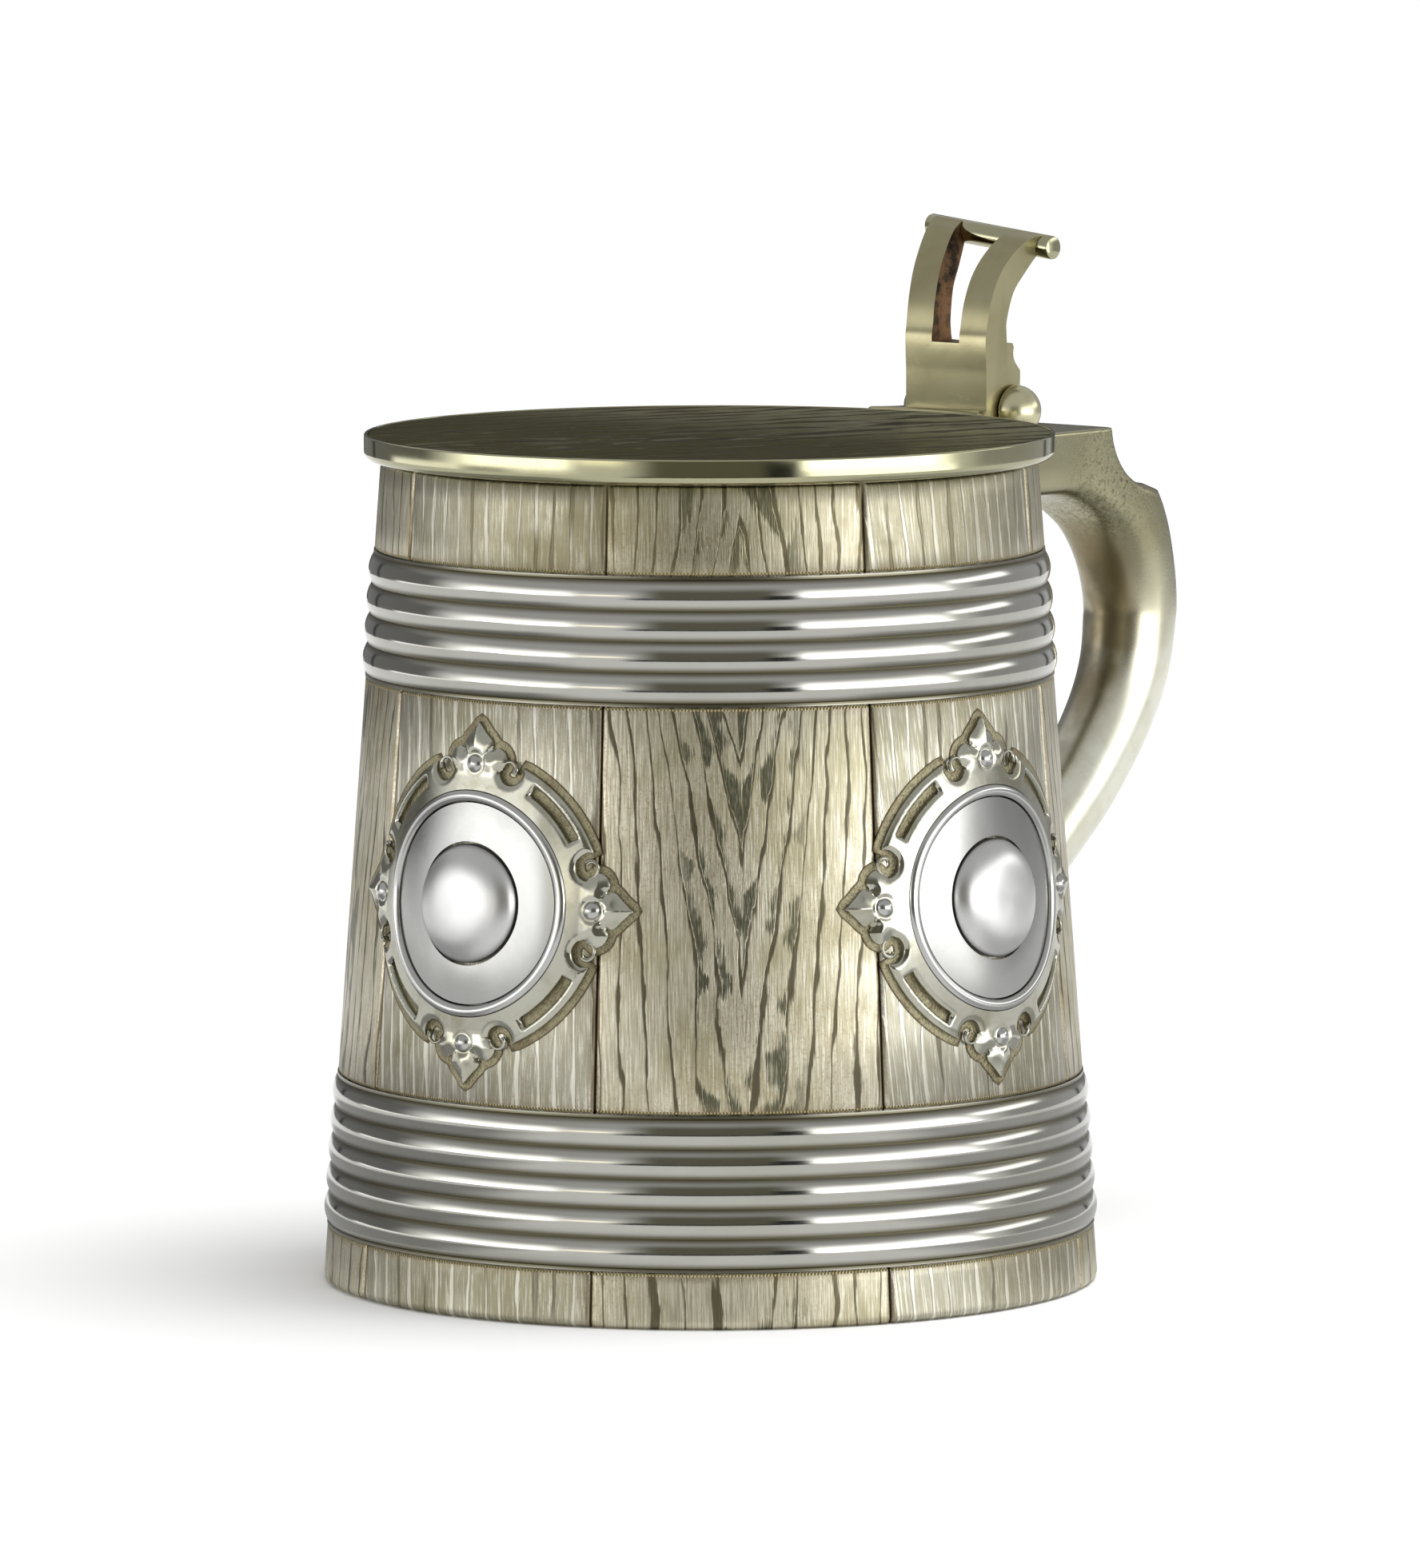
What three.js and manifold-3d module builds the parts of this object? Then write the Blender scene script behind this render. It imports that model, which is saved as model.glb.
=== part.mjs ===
// Covered tankard made to look like a small oak cask: a tapering cup chased as eight staves, bound by
// two reeded hoops, with three strapwork bosses, a hinged lid with a forked thumbpiece and a tube handle.
// Millimetres, +Z up. The origin is the centre of the underside, and +X points to the handle.
import * as THREE from "three";
import { mergeVertices } from "three/addons/utils/BufferGeometryUtils.js";
import Module from "manifold-3d";

const wasm = await Module();
wasm.setup();

const turn = 2 * Math.PI;
const facetsPerTurn = 40;
const rodFacets = 20;
const pinFacets = 16;

// Cup
const baseRadius = 62.5;
const rimRadius = 52.8;
const footHeight = 9.0; // below the lower hoop
const lowerHoopHeight = 24.8;
const fieldHeight = 63.8; // between the hoops
const upperHoopHeight = 20.6;
const collarHeight = 14.0; // between the upper hoop and the mouth
const wallThickness = 1.7;
const basePlateThickness = 1.4;
const baseEdgeRadius = 1.3;
const rimEdgeChamfer = 0.4;
const staveCount = 8;
const staveJointWidth = 0.8;
const staveJointDepth = 0.5;

// Hoops
const lowerHoopReeds = 5;
const upperHoopReeds = 4;
const hoopSeatDepth = 0.6;
const hoopEdgeWidth = 0.5;
const reedProud = 0.6;
const reedFacets = 4;

// Clearances
const fitGap = 0.2; // round one piece that sits inside another
const seatGap = 0.3; // under a piece that rests on another
const runningGap = 0.15; // round the hinge pin
const overrun = 5; // how far a cutter reaches past what it cuts

// Strapwork bosses
const bossStaves = { front: 4, right: 6, left: 2 }; // which stave, counted from the handle's
const bossQuarters = 4;
const bossMargin = 3.6; // from the tip of a fleur-de-lis to the hoop
const bossFrameHeight = 1.0;
const bossRingWire = 1.0; // radius of the wire
const bossDishEdgeHeight = 0.9;
const bossDishRise = 0.6;
const bossDomeHeight = 3.8; // above the dish
const bossBeadRadius = 1.5;
// radii within a boss, as shares of its reach from the middle to the tip of a fleur-de-lis
const bossFrameShare = 0.8304;
const bossRingShare = 0.6025;
const bossDomeShare = 0.3322;
const bossBeadShare = 0.7774;
const slotInnerShare = 0.7244;
const slotOuterShare = 0.7774;
const slotTurnShare = 0.04; // half of a slot's spread, of a turn
// the round recess beside each fleur-de-lis, as shares of the frame's radius
const hookShares = { up: 0.9, across: 0.29, radius: 0.096 };
const hookEndShare = -0.47; // of a turn, where the recess ends at the lobe
// half of a fleur-de-lis, from its side lobe to its pointed middle petal, as shares of its reach
const petalShares = [
  [0.183, 0.757],
  [0.207, 0.795],
  [0.187, 0.841],
  [0.14, 0.868],
  [0.102, 0.862],
  [0.098, 0.905],
  [0.058, 0.948],
];

// Lid
const lidOverhang = 2.7; // beyond the mouth of the cup
const lidRimHeight = 4.0;
const lidRimEdgeRadius = 1.4;
const lidPlateThickness = 1.4;
const lidPlateMargin = 0.7;
const lidBezelThickness = 1.2;
const lidBezelDepth = 4.0; // below the mouth
const lidBezelClearance = 0.45;

// Handle
const bracketDrop = 0.2; // of its top below the mouth
const bracketWidth = 17.0;
const bracketDepth = 11.0; // at the cup
const bracketOverhang = 13.5; // of the top corner beyond the middle of the bend
const bracketSquareness = 20; // power of the section's corners, where 2 is round
const bracketUnderSquareness = 4;
const coveRadius = 11.3;
const coveDepth = 10.0; // from the bracket's top down to the bottom of the cove
const coveLip = 1.0; // from there down to the tip outside the cove
const handleStandOff = 53.8; // of the outermost point of the tube beyond the foot of the cup
const handleTubeRadius = 7.8;
const handleTipRadius = 6.0;
const handleElbowRadius = 21.0; // inside the bend
const handleBackRadius = 30.0; // outside the bend
const handleFootHeight = 46.0; // where the tube meets the cup again
// the tube's centre line from the bend down to the foot, as shares of the run and the drop
const tubeRunShares = [
  [1, 1],
  [0.968, 0.833],
  [0.881, 0.678],
  [0.721, 0.498],
  [0.559, 0.361],
  [0.423, 0.252],
  [0.281, 0.148],
  [0.14, 0.065],
  [0, 0],
  [-0.1, -0.035],
];

// Hinge
const hingeSetback = 11.3; // of its axis behind the lid's edge
const knuckleRadius = 4.1;
const middleKnuckleLength = 7.0;
const knuckleGap = 0.4; // between one knuckle and the next
const knuckleClearance = 0.65; // round the middle knuckle
const knuckleFootLength = 9.0;
const knuckleFootThickness = 1.0;
const hingePinRadius = 1.25;
const hingeCapProud = 0.15; // of the ball cap beyond the knuckles
const hingeCapSocket = 2.2; // how deep the pin goes into its cap

// Thumbpiece, as wide as the bracket
const thumbSlotWidth = 5.8;
const thumbSlotRise = 11.2; // of the slot's bottom above the hinge
const thumbDepth = 6.8; // from its front to the hinge's axis
const thumbRise = 29.9; // of the crest above the hinge
const thumbLean = 12.0; // of the bar's middle line behind the front
const thumbSole = 3.5; // below the hinge
const thumbFlare = 2.9; // how far each leg leans out at the crest
const thumbBarRadius = 1.95;
const thumbBarOverhang = 4.5; // of each end beyond the thumbpiece's width at the hinge
const thumbBarDip = 0.105; // fall of the bar towards -Y, per millimetre of its length
const tongueFlare = 3.6;
const tongueRise = 0.4; // above the lid
const tongueThickness = 3.9;
// the side view of the thumbpiece, as shares of the lean and the rise
const thumbFrontShares = [
  [0, 0.204],
  [-0.017, 0.388],
  [0.008, 0.455],
  [0.067, 0.589],
  [0.192, 0.732],
  [0.383, 0.849],
  [0.642, 0.95],
  [0.917, 1],
];
const thumbRearShares = [
  [0.85, 0.853],
  [0.692, 0.763],
  [0.517, 0.656],
  [0.417, 0.498],
  [0.417, 0.408],
  [0.433, 0.378],
  [0.567, 0.371],
  [0.592, 0.348],
  [0.583, 0.314],
  [0.608, 0.274],
  [0.692, 0.234],
  [0.733, 0.211],
  [0.725, 0.127],
];

const gilt = { color: "#b9b184", roughness: 0.25, metalness: 1 };
const silver = { color: "#c9c8c6", roughness: 0.15, metalness: 1 };
const satinSilver = { color: "#c4c3c2", roughness: 0.35, metalness: 1 };
const staveSilver = { color: "#b5ad97", roughness: 0.45, metalness: 1 };

// Places that follow from the sizes
const lowerHoopTop = footHeight + lowerHoopHeight;
const upperHoopBottom = lowerHoopTop + fieldHeight;
const upperHoopTop = upperHoopBottom + upperHoopHeight;
const cupHeight = upperHoopTop + collarHeight;
const bossHeight = lowerHoopTop + fieldHeight / 2;
const bossReach = fieldHeight / 2 - bossMargin;
const bossFrameRadius = bossReach * bossFrameShare;
const bossRingRadius = bossReach * bossRingShare;
const bossDishRadius = bossRingRadius - bossRingWire - fitGap;
const bossDomeRadius = bossReach * bossDomeShare;
const bossBeadReach = bossReach * bossBeadShare;
const lidRadius = rimRadius + lidOverhang;
const lidSeat = cupHeight + seatGap;
const lidTop = lidSeat + lidRimHeight;
const bracketTop = cupHeight - bracketDrop;
const handleReach = baseRadius + handleStandOff;
const hingeReach = lidRadius + hingeSetback;
const hingeHeight = bracketTop + seatGap + knuckleRadius;
const hingeCapRadius = knuckleRadius + hingeCapProud;
const thumbWidth = bracketWidth;
const thumbFrontReach = hingeReach - thumbDepth;
const thumbBarPlace = [thumbFrontReach + thumbLean, hingeHeight + thumbRise - thumbBarRadius];
const thumbBarLength = thumbWidth + 2 * thumbBarOverhang;

const root = new THREE.Group();
const cup = new THREE.Group();
const lid = new THREE.Group();
root.add(cup, lid);

// Radius of the staves at a height.
function wallRadius(height) {
  return baseRadius + ((rimRadius - baseRadius) * height) / cupHeight;
}

function addPiece(group, name, geometry, finish) {
  const piece = new THREE.Mesh(geometry, new THREE.MeshStandardMaterial(finish));
  piece.name = name;
  group.add(piece);
  return piece;
}

function toSolid(geometry) {
  const bare = geometry.clone();
  bare.deleteAttribute("normal");
  bare.deleteAttribute("uv");
  const merged = mergeVertices(bare);
  return new wasm.Manifold(
    new wasm.Mesh({
      numProp: 3,
      vertProperties: merged.attributes.position.array,
      triVerts: new Uint32Array(merged.index.array),
    }),
  );
}

function toGeometry(solid) {
  const mesh = solid.getMesh();
  const geometry = new THREE.BufferGeometry();
  geometry.setAttribute("position", new THREE.BufferAttribute(mesh.vertProperties, 3));
  geometry.setIndex(new THREE.BufferAttribute(mesh.triVerts, 1));
  geometry.computeVertexNormals();
  return geometry;
}

// A solid of revolution about +Z from [radius, height] points, outside going up.
function revolve(points, facets = facetsPerTurn) {
  const profile = points.map(([radius, height]) => new THREE.Vector2(radius, height));
  return new THREE.LatheGeometry(profile, facets).rotateX(turn / 4);
}

// The same, for a section that doesn't meet the axis.
function revolveRing(points, facets = facetsPerTurn) {
  return revolve([...points, points[0]], facets);
}

// Points of an arc as [x, y] pairs, both ends included.
function arcPoints(centreX, centreY, radius, fromTurns, toTurns, steps) {
  return Array.from({ length: steps + 1 }, (_, i) => {
    const angle = turn * (fromTurns + ((toTurns - fromTurns) * i) / steps);
    return [centreX + radius * Math.cos(angle), centreY + radius * Math.sin(angle)];
  });
}

// A closed skin over rows of points. Each row is a closed loop. The rows join into a ring, or the first
// and last rows are capped.
function skin(rows, joined) {
  const width = rows[0].length;
  const positions = rows.flat().flatMap((p) => [p.x, p.y, p.z]);
  const faces = [];
  const spans = joined ? rows.length : rows.length - 1;
  for (let i = 0; i < spans; i++) {
    const next = (i + 1) % rows.length;
    for (let j = 0; j < width; j++) {
      const a = i * width + j;
      const b = i * width + ((j + 1) % width);
      const c = next * width + j;
      const d = next * width + ((j + 1) % width);
      faces.push(a, b, c, b, d, c);
    }
  }
  if (!joined) {
    const last = (rows.length - 1) * width;
    for (let j = 1; j < width - 1; j++) {
      faces.push(0, j + 1, j, last, last + j, last + j + 1);
    }
  }
  const geometry = new THREE.BufferGeometry();
  geometry.setAttribute("position", new THREE.Float32BufferAttribute(positions, 3));
  geometry.setIndex(faces);
  return geometry;
}

// A flat outline in the X-Z plane, given as [x, z] points, made a block across Y.
function blockAcross(outline, width) {
  const shape = new THREE.Shape(outline.map(([x, z]) => new THREE.Vector2(x, z)));
  const block = new THREE.ExtrudeGeometry(shape, { depth: width, bevelEnabled: false });
  return block.translate(0, 0, -width / 2).rotateX(turn / 4);
}

// A round rod across Y through a point of the X-Z plane.
function rodAcross(radius, length, x, z, facets = rodFacets) {
  return new THREE.CylinderGeometry(radius, radius, length, facets).translate(x, 0, z);
}

// Cup wall: one tapering shell. The staves are divided by V-shaped joints, and the hoops sit in
// shallow seats.
function buildBodyWall() {
  const jointHalf = staveJointWidth / 2;
  const facetsPerStave = facetsPerTurn / staveCount;
  const angles = [];
  for (let stave = 0; stave < staveCount; stave++) {
    const joint = (turn * (stave + 0.5)) / staveCount;
    angles.push([joint - jointHalf / baseRadius, 0], [joint, 1], [joint + jointHalf / baseRadius, 0]);
    for (let i = 1; i < facetsPerStave; i++) {
      angles.push([joint + (turn * i) / facetsPerTurn, 0]);
    }
  }
  const rows = [];
  // depth is below the stave surface, and jointShare is how much of the joint's depth a row has
  const row = (height, depth, jointShare) => {
    const radius = wallRadius(height) - depth;
    rows.push(
      angles.map(([angle, joint]) => {
        const r = radius - joint * jointShare * staveJointDepth;
        return new THREE.Vector3(r * Math.cos(angle), r * Math.sin(angle), height);
      }),
    );
  };
  row(0, wallThickness, 0);
  for (const [inset, rise] of arcPoints(baseEdgeRadius, baseEdgeRadius, baseEdgeRadius, 0.75, 0.5, 2)) {
    row(rise, inset, 1);
  }
  for (const [bottom, top] of [[footHeight, lowerHoopTop], [upperHoopBottom, upperHoopTop]]) {
    row(bottom, 0, 1);
    row(bottom, hoopSeatDepth, 0);
    row(top, hoopSeatDepth, 0);
    row(top, 0, 1);
  }
  row(cupHeight - rimEdgeChamfer, 0, 1);
  row(cupHeight, rimEdgeChamfer, 0);
  row(cupHeight, wallThickness, 0);
  addPiece(cup, "body_wall", skin(rows, true), staveSilver);
}

function buildBasePlate() {
  const inside = (height) => wallRadius(height) - wallThickness - fitGap;
  const outline = [
    [0, 0],
    [inside(0), 0],
    [inside(basePlateThickness), basePlateThickness],
    [0, basePlateThickness],
  ];
  addPiece(cup, "base_plate", revolve(outline), gilt);
}

// A band of half-round reeds between two narrow flat edges.
function buildHoop(name, bottom, top, reeds) {
  const low = bottom + fitGap;
  const high = top - fitGap;
  const inside = (z) => [wallRadius(z) - hoopSeatDepth + fitGap, z];
  const reedHeight = (high - low - 2 * hoopEdgeWidth) / reeds;
  const outline = [inside(low), [wallRadius(low), low]];
  for (let i = 0; i <= reeds * reedFacets; i++) {
    const z = low + hoopEdgeWidth + (reedHeight * i) / reedFacets;
    const proud = reedProud * Math.abs(Math.sin((Math.PI * i) / reedFacets));
    outline.push([wallRadius(z) + proud, z]);
  }
  outline.push([wallRadius(high), high], inside(high));
  addPiece(cup, name, revolveRing(outline), silver);
}

// A point of the cup's surface, given by its distances across and up from the middle of a boss that
// faces +X, and by its height off the staves.
function onWall(across, up, off) {
  const z = bossHeight + up;
  const radius = wallRadius(z);
  const angle = across / radius;
  return new THREE.Vector3((radius + off) * Math.cos(angle), (radius + off) * Math.sin(angle), z);
}

// One quarter of the strapwork plate's edge, from one diagonal to the next: the round band, a hooked
// recess, the fleur-de-lis, and the same again mirrored.
function strapworkQuarter(turned) {
  const mirrored = (points) => points.map(([u, v]) => [-u, v]).reverse();
  const up = hookShares.up * bossFrameRadius;
  const across = hookShares.across * bossFrameRadius;
  const radius = hookShares.radius * bossFrameRadius;
  // where the recess's circle meets the band's edge
  const distance = Math.hypot(across, up);
  const meeting = Math.acos((distance ** 2 + radius ** 2 - bossFrameRadius ** 2) / (2 * distance * radius));
  const hookStart = (Math.atan2(-up, -across) + meeting) / turn;
  const hook = arcPoints(across, up, radius, hookStart, hookEndShare, 7);
  const petal = petalShares.map(([u, v]) => [u * bossReach, v * bossReach]);
  const bandEnd = Math.atan2(hook[0][1], hook[0][0]) / turn;
  const band = arcPoints(0, 0, bossFrameRadius, 0.125, bandEnd, 3).slice(0, -1);
  const half = [...band, ...hook, ...petal];
  const quarter = [...half, [0, bossReach], ...mirrored(half).slice(0, -1)];
  const middle = new THREE.Vector2();
  return quarter.map(([u, v]) => new THREE.Vector2(u, v).rotateAround(middle, turned));
}

// Strapwork plate: its outline is drawn on the unrolled wall, set against the cup and cut to the wall's
// own curve.
function buildBossFrame(name) {
  const quarters = Array.from({ length: bossQuarters }, (_, quarter) => quarter);
  const edge = quarters.flatMap((quarter) => strapworkQuarter((turn * quarter) / bossQuarters));
  const flat = ([u, v]) => {
    const radius = wallRadius(bossHeight + v);
    const top = radius + seatGap + bossFrameHeight;
    return new THREE.Vector2(top * Math.sin(u / radius), v);
  };
  const shape = new THREE.Shape(edge.map((p) => flat([p.x, p.y])));
  const opening = arcPoints(0, 0, bossRingRadius + bossRingWire + fitGap, 1, 0, 30);
  shape.holes.push(new THREE.Path(opening.slice(0, -1).map(flat)));
  for (const quarter of quarters) {
    const middle = (quarter + 0.5) / bossQuarters;
    const from = middle + slotTurnShare;
    const to = middle - slotTurnShare;
    const slot = [
      ...arcPoints(0, 0, bossReach * slotOuterShare, from, to, 4),
      ...arcPoints(0, 0, bossReach * slotInnerShare, to, from, 4),
    ];
    shape.holes.push(new THREE.Path(slot.map(flat)));
  }
  const plate = new THREE.ExtrudeGeometry(shape, { depth: baseRadius, bevelEnabled: false });
  plate.applyMatrix4(
    new THREE.Matrix4().makeBasis(
      new THREE.Vector3(0, 1, 0),
      new THREE.Vector3(0, 0, 1),
      new THREE.Vector3(1, 0, 0),
    ),
  );
  plate.translate(overrun, 0, bossHeight);
  const low = bossHeight - bossReach - overrun;
  const high = bossHeight + bossReach + overrun;
  const layer = revolveRing([
    [wallRadius(low) + seatGap, low],
    [wallRadius(low) + seatGap + bossFrameHeight, low],
    [wallRadius(high) + seatGap + bossFrameHeight, high],
    [wallRadius(high) + seatGap, high],
  ]);
  const solid = toSolid(plate).intersect(toSolid(layer));
  return addPiece(cup, name, toGeometry(solid), gilt);
}

// Rows of points round a boss, one row for each [reach, off] point.
function roundsOnWall(section) {
  const steps = 24;
  return section.map(([reach, off]) =>
    Array.from({ length: steps }, (_, i) => {
      const angle = (turn * i) / steps;
      return onWall(reach * Math.cos(angle), reach * Math.sin(angle), off);
    }),
  );
}

function buildBossRing(name) {
  const sides = 5;
  const wire = arcPoints(bossRingRadius, seatGap + bossRingWire, bossRingWire, 0, 1 - 1 / sides, sides - 1);
  return addPiece(cup, name, skin(roundsOnWall(wire), true), silver);
}

function buildBossDish(name) {
  const inner = bossDomeRadius + fitGap;
  const steps = 3;
  const top = Array.from({ length: steps + 1 }, (_, i) => {
    const share = 1 - i / steps;
    const reach = inner + (bossDishRadius - inner) * share;
    return [reach, seatGap + bossDishEdgeHeight + bossDishRise * (1 - share * share)];
  });
  const section = [[inner, seatGap], [bossDishRadius, seatGap], ...top];
  return addPiece(cup, name, skin(roundsOnWall(section), true), satinSilver);
}

function buildBossDome(name) {
  const foot = seatGap + bossDishEdgeHeight + bossDishRise;
  const steps = 4;
  const floor = [1, 2].map((i) => [(bossDomeRadius * i) / 2, seatGap]);
  const top = Array.from({ length: steps + 1 }, (_, i) => {
    const angle = ((turn / 4) * i) / (steps + 0.5);
    return [bossDomeRadius * Math.cos(angle), foot + bossDomeHeight * Math.sin(angle)];
  });
  return addPiece(cup, name, skin(roundsOnWall([...floor, ...top]), false), satinSilver);
}

function buildBossBead(name, quarter) {
  const angle = (turn * quarter) / bossQuarters;
  const off = seatGap + bossFrameHeight + seatGap;
  const place = onWall(bossBeadReach * Math.cos(angle), bossBeadReach * Math.sin(angle), off);
  const profile = [[0, 0], ...arcPoints(0, 0, bossBeadRadius, 0, 0.25, 3)];
  profile[profile.length - 1][0] = 0;
  const bead = revolve(profile, 8).rotateY(turn / 4).rotateZ(Math.atan2(place.y, place.x));
  bead.translate(place.x, place.y, place.z);
  return addPiece(cup, name, bead, silver);
}

function buildBosses() {
  for (const [side, stave] of Object.entries(bossStaves)) {
    const pieces = [
      buildBossFrame(`boss_frame_${side}`),
      buildBossRing(`boss_ring_${side}`),
      buildBossDish(`boss_dish_${side}`),
      buildBossDome(`boss_dome_${side}`),
    ];
    for (let quarter = 0; quarter < bossQuarters; quarter++) {
      pieces.push(buildBossBead(`boss_bead_${side}_${quarter + 1}`, quarter));
    }
    for (const piece of pieces) {
      piece.rotation.z = (turn * stave) / staveCount;
    }
  }
}

function buildLidRim() {
  const inside = rimRadius - wallThickness - lidBezelClearance + fitGap;
  const floor = lidTop - lidPlateThickness;
  const rebate = lidRadius - lidPlateMargin + fitGap;
  const outline = [
    [inside, floor],
    [inside, lidSeat],
    ...arcPoints(lidRadius - lidRimEdgeRadius, lidSeat + lidRimEdgeRadius, lidRimEdgeRadius, -0.25, 0, 2),
    [lidRadius, lidTop],
    [rebate, lidTop],
    [rebate, floor],
  ];
  addPiece(lid, "lid_rim", revolveRing(outline), silver);
}

function buildLidPlate() {
  const radius = lidRadius - lidPlateMargin;
  const floor = lidTop - lidPlateThickness;
  addPiece(lid, "lid_plate", revolve([[0, floor], [radius, floor], [radius, lidTop], [0, lidTop]]), gilt);
}

// The flange that drops inside the mouth of the cup.
function buildLidBezel() {
  const outside = rimRadius - wallThickness - lidBezelClearance;
  const inside = outside - lidBezelThickness;
  const low = cupHeight - lidBezelDepth;
  const high = lidTop - lidPlateThickness;
  const outline = [[inside, low], [outside, low], [outside, high], [inside, high]];
  addPiece(lid, "lid_bezel", revolveRing(outline), gilt);
}

// The lug between the lid's rim and the thumbpiece: its sides sweep out to the rim.
function buildLidTongue() {
  const halfWidth = thumbWidth / 2;
  const back = thumbFrontReach - seatGap;
  const front = lidRadius - lidRimEdgeRadius;
  const steps = 5;
  const side = Array.from({ length: steps + 1 }, (_, i) => {
    const share = i / steps;
    return [back + (front - back) * share, halfWidth + tongueFlare * share ** 3];
  });
  const shape = new THREE.Shape([
    ...side.map(([x, y]) => new THREE.Vector2(x, y)),
    ...side.map(([x, y]) => new THREE.Vector2(x, -y)).reverse(),
  ]);
  const lug = new THREE.ExtrudeGeometry(shape, { depth: tongueThickness, bevelEnabled: false });
  lug.translate(0, 0, lidTop + tongueRise - tongueThickness);
  const clear = lidRadius + seatGap;
  const lidSpace = revolve([[0, 0], [clear, 0], [clear, lidTop + overrun], [0, lidTop + overrun]]);
  addPiece(lid, "lid_tongue", toGeometry(toSolid(lug).subtract(toSolid(lidSpace))), gilt);
}

// One section of the handle between a point on its inner edge and one on its outer edge. The powers
// say how square each half is: 2 is round.
function handleSection(inner, outer, halfWidth, innerPower, outerPower) {
  const steps = 16;
  return Array.from({ length: steps }, (_, i) => {
    const along = Math.cos((turn * i) / steps);
    const across = Math.sin((-turn * i) / steps);
    const power = 2 / (along > 0 ? outerPower : innerPower);
    const reach = (1 + Math.sign(along) * Math.abs(along) ** power) / 2;
    return new THREE.Vector3(
      inner[0] + (outer[0] - inner[0]) * reach,
      Math.sign(across) * Math.abs(across) ** power * halfWidth,
      inner[1] + (outer[1] - inner[1]) * reach,
    );
  });
}

// The handle: a square bracket that turns into a round tube, with a cove outside the bend. Sections run
// from the cup's rim along the bracket, round the bend and down the tube back to the cup.
function buildHandle() {
  const rows = [];
  const under = bracketTop - bracketDepth;
  const bend = [handleReach - 2 * handleTubeRadius - handleElbowRadius, under - handleElbowRadius];
  const elbow = (share) => [
    bend[0] + handleElbowRadius * Math.sin((turn / 4) * share),
    bend[1] + handleElbowRadius * Math.cos((turn / 4) * share),
  ];
  const bracketReach = bend[0] + bracketOverhang;
  const coveMiddle = [bracketReach + coveRadius, bracketTop - coveDepth + coveRadius];
  const coveStart = 0.5 + Math.asin(1 - coveDepth / coveRadius) / turn;
  const cove = arcPoints(...coveMiddle, coveRadius, coveStart, 0.75, 5);
  const tipTurn = Math.asin((bracketTop - coveDepth - coveLip - bend[1]) / handleBackRadius) / turn;
  const back = arcPoints(handleReach - handleBackRadius, bend[1], handleBackRadius, tipTurn, 0, 6);
  const outside = [[bend[0], bracketTop], [(bend[0] + bracketReach) / 2, bracketTop], ...cove, ...back];
  const start = rimRadius - overrun;
  const square = [bracketUnderSquareness, bracketSquareness];
  rows.push(handleSection([start, under], [start, bracketTop], bracketWidth / 2, ...square));
  outside.forEach((point, i) => {
    const share = i / (outside.length - 1);
    const tip = Math.max(0, (i - 2) / (outside.length - 3));
    const halfWidth = bracketWidth / 2 + (handleTubeRadius - bracketWidth / 2) * tip ** 2;
    const outerPower = 2 + (bracketSquareness - 2) * (1 - tip) ** 3;
    const innerPower = 2 + (bracketUnderSquareness - 2) * (1 - share) ** 2;
    rows.push(handleSection(elbow(share), point, halfWidth, innerPower, outerPower));
  });
  const run = handleReach - handleTubeRadius - wallRadius(handleFootHeight);
  const drop = bend[1] - handleFootHeight;
  const line = new THREE.CatmullRomCurve3(
    tubeRunShares.map(([u, w]) => {
      return new THREE.Vector3(wallRadius(handleFootHeight) + run * u, 0, handleFootHeight + drop * w);
    }),
  );
  const stations = 14;
  for (let i = 1; i <= stations; i++) {
    const share = i / stations;
    const place = line.getPoint(share);
    const along = line.getTangent(share);
    const radius = handleTipRadius + (handleTubeRadius - handleTipRadius) * (1 - share) ** 1.5;
    const inner = [place.x + radius * along.z, place.z - radius * along.x];
    const outer = [place.x - radius * along.z, place.z + radius * along.x];
    rows.push(handleSection(inner, outer, radius, 2, 2));
  }
  const low = -overrun;
  const high = cupHeight + overrun;
  const cupSpace = revolve([
    [0, low],
    [wallRadius(low) + seatGap, low],
    [wallRadius(high) + seatGap, high],
    [0, high],
  ]);
  const solid = toSolid(skin(rows, false)).subtract(toSolid(cupSpace));
  addPiece(cup, "handle", toGeometry(solid), gilt);
}

function pinBore() {
  const length = thumbWidth + overrun;
  return toSolid(rodAcross(hingePinRadius + runningGap, length, hingeReach, hingeHeight, pinFacets));
}

// Middle knuckle of the hinge, on a foot that is fixed to the bracket.
function buildHandleKnuckle() {
  const low = bracketTop + seatGap;
  const footBack = hingeReach - knuckleRadius;
  const foot = blockAcross(
    [
      [footBack, low],
      [footBack + knuckleFootLength, low],
      [footBack + knuckleFootLength, low + knuckleFootThickness],
      [hingeReach + knuckleRadius, hingeHeight - knuckleRadius / 2],
      [hingeReach, hingeHeight],
      [footBack, hingeHeight],
    ],
    middleKnuckleLength,
  );
  const barrel = rodAcross(knuckleRadius, middleKnuckleLength, hingeReach, hingeHeight);
  const solid = toSolid(foot).add(toSolid(barrel)).subtract(pinBore());
  addPiece(cup, "handle_knuckle", toGeometry(solid), gilt);
}

function thumbPoint([lean, rise]) {
  return [thumbFrontReach + thumbLean * lean, hingeHeight + thumbRise * rise];
}

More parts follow.
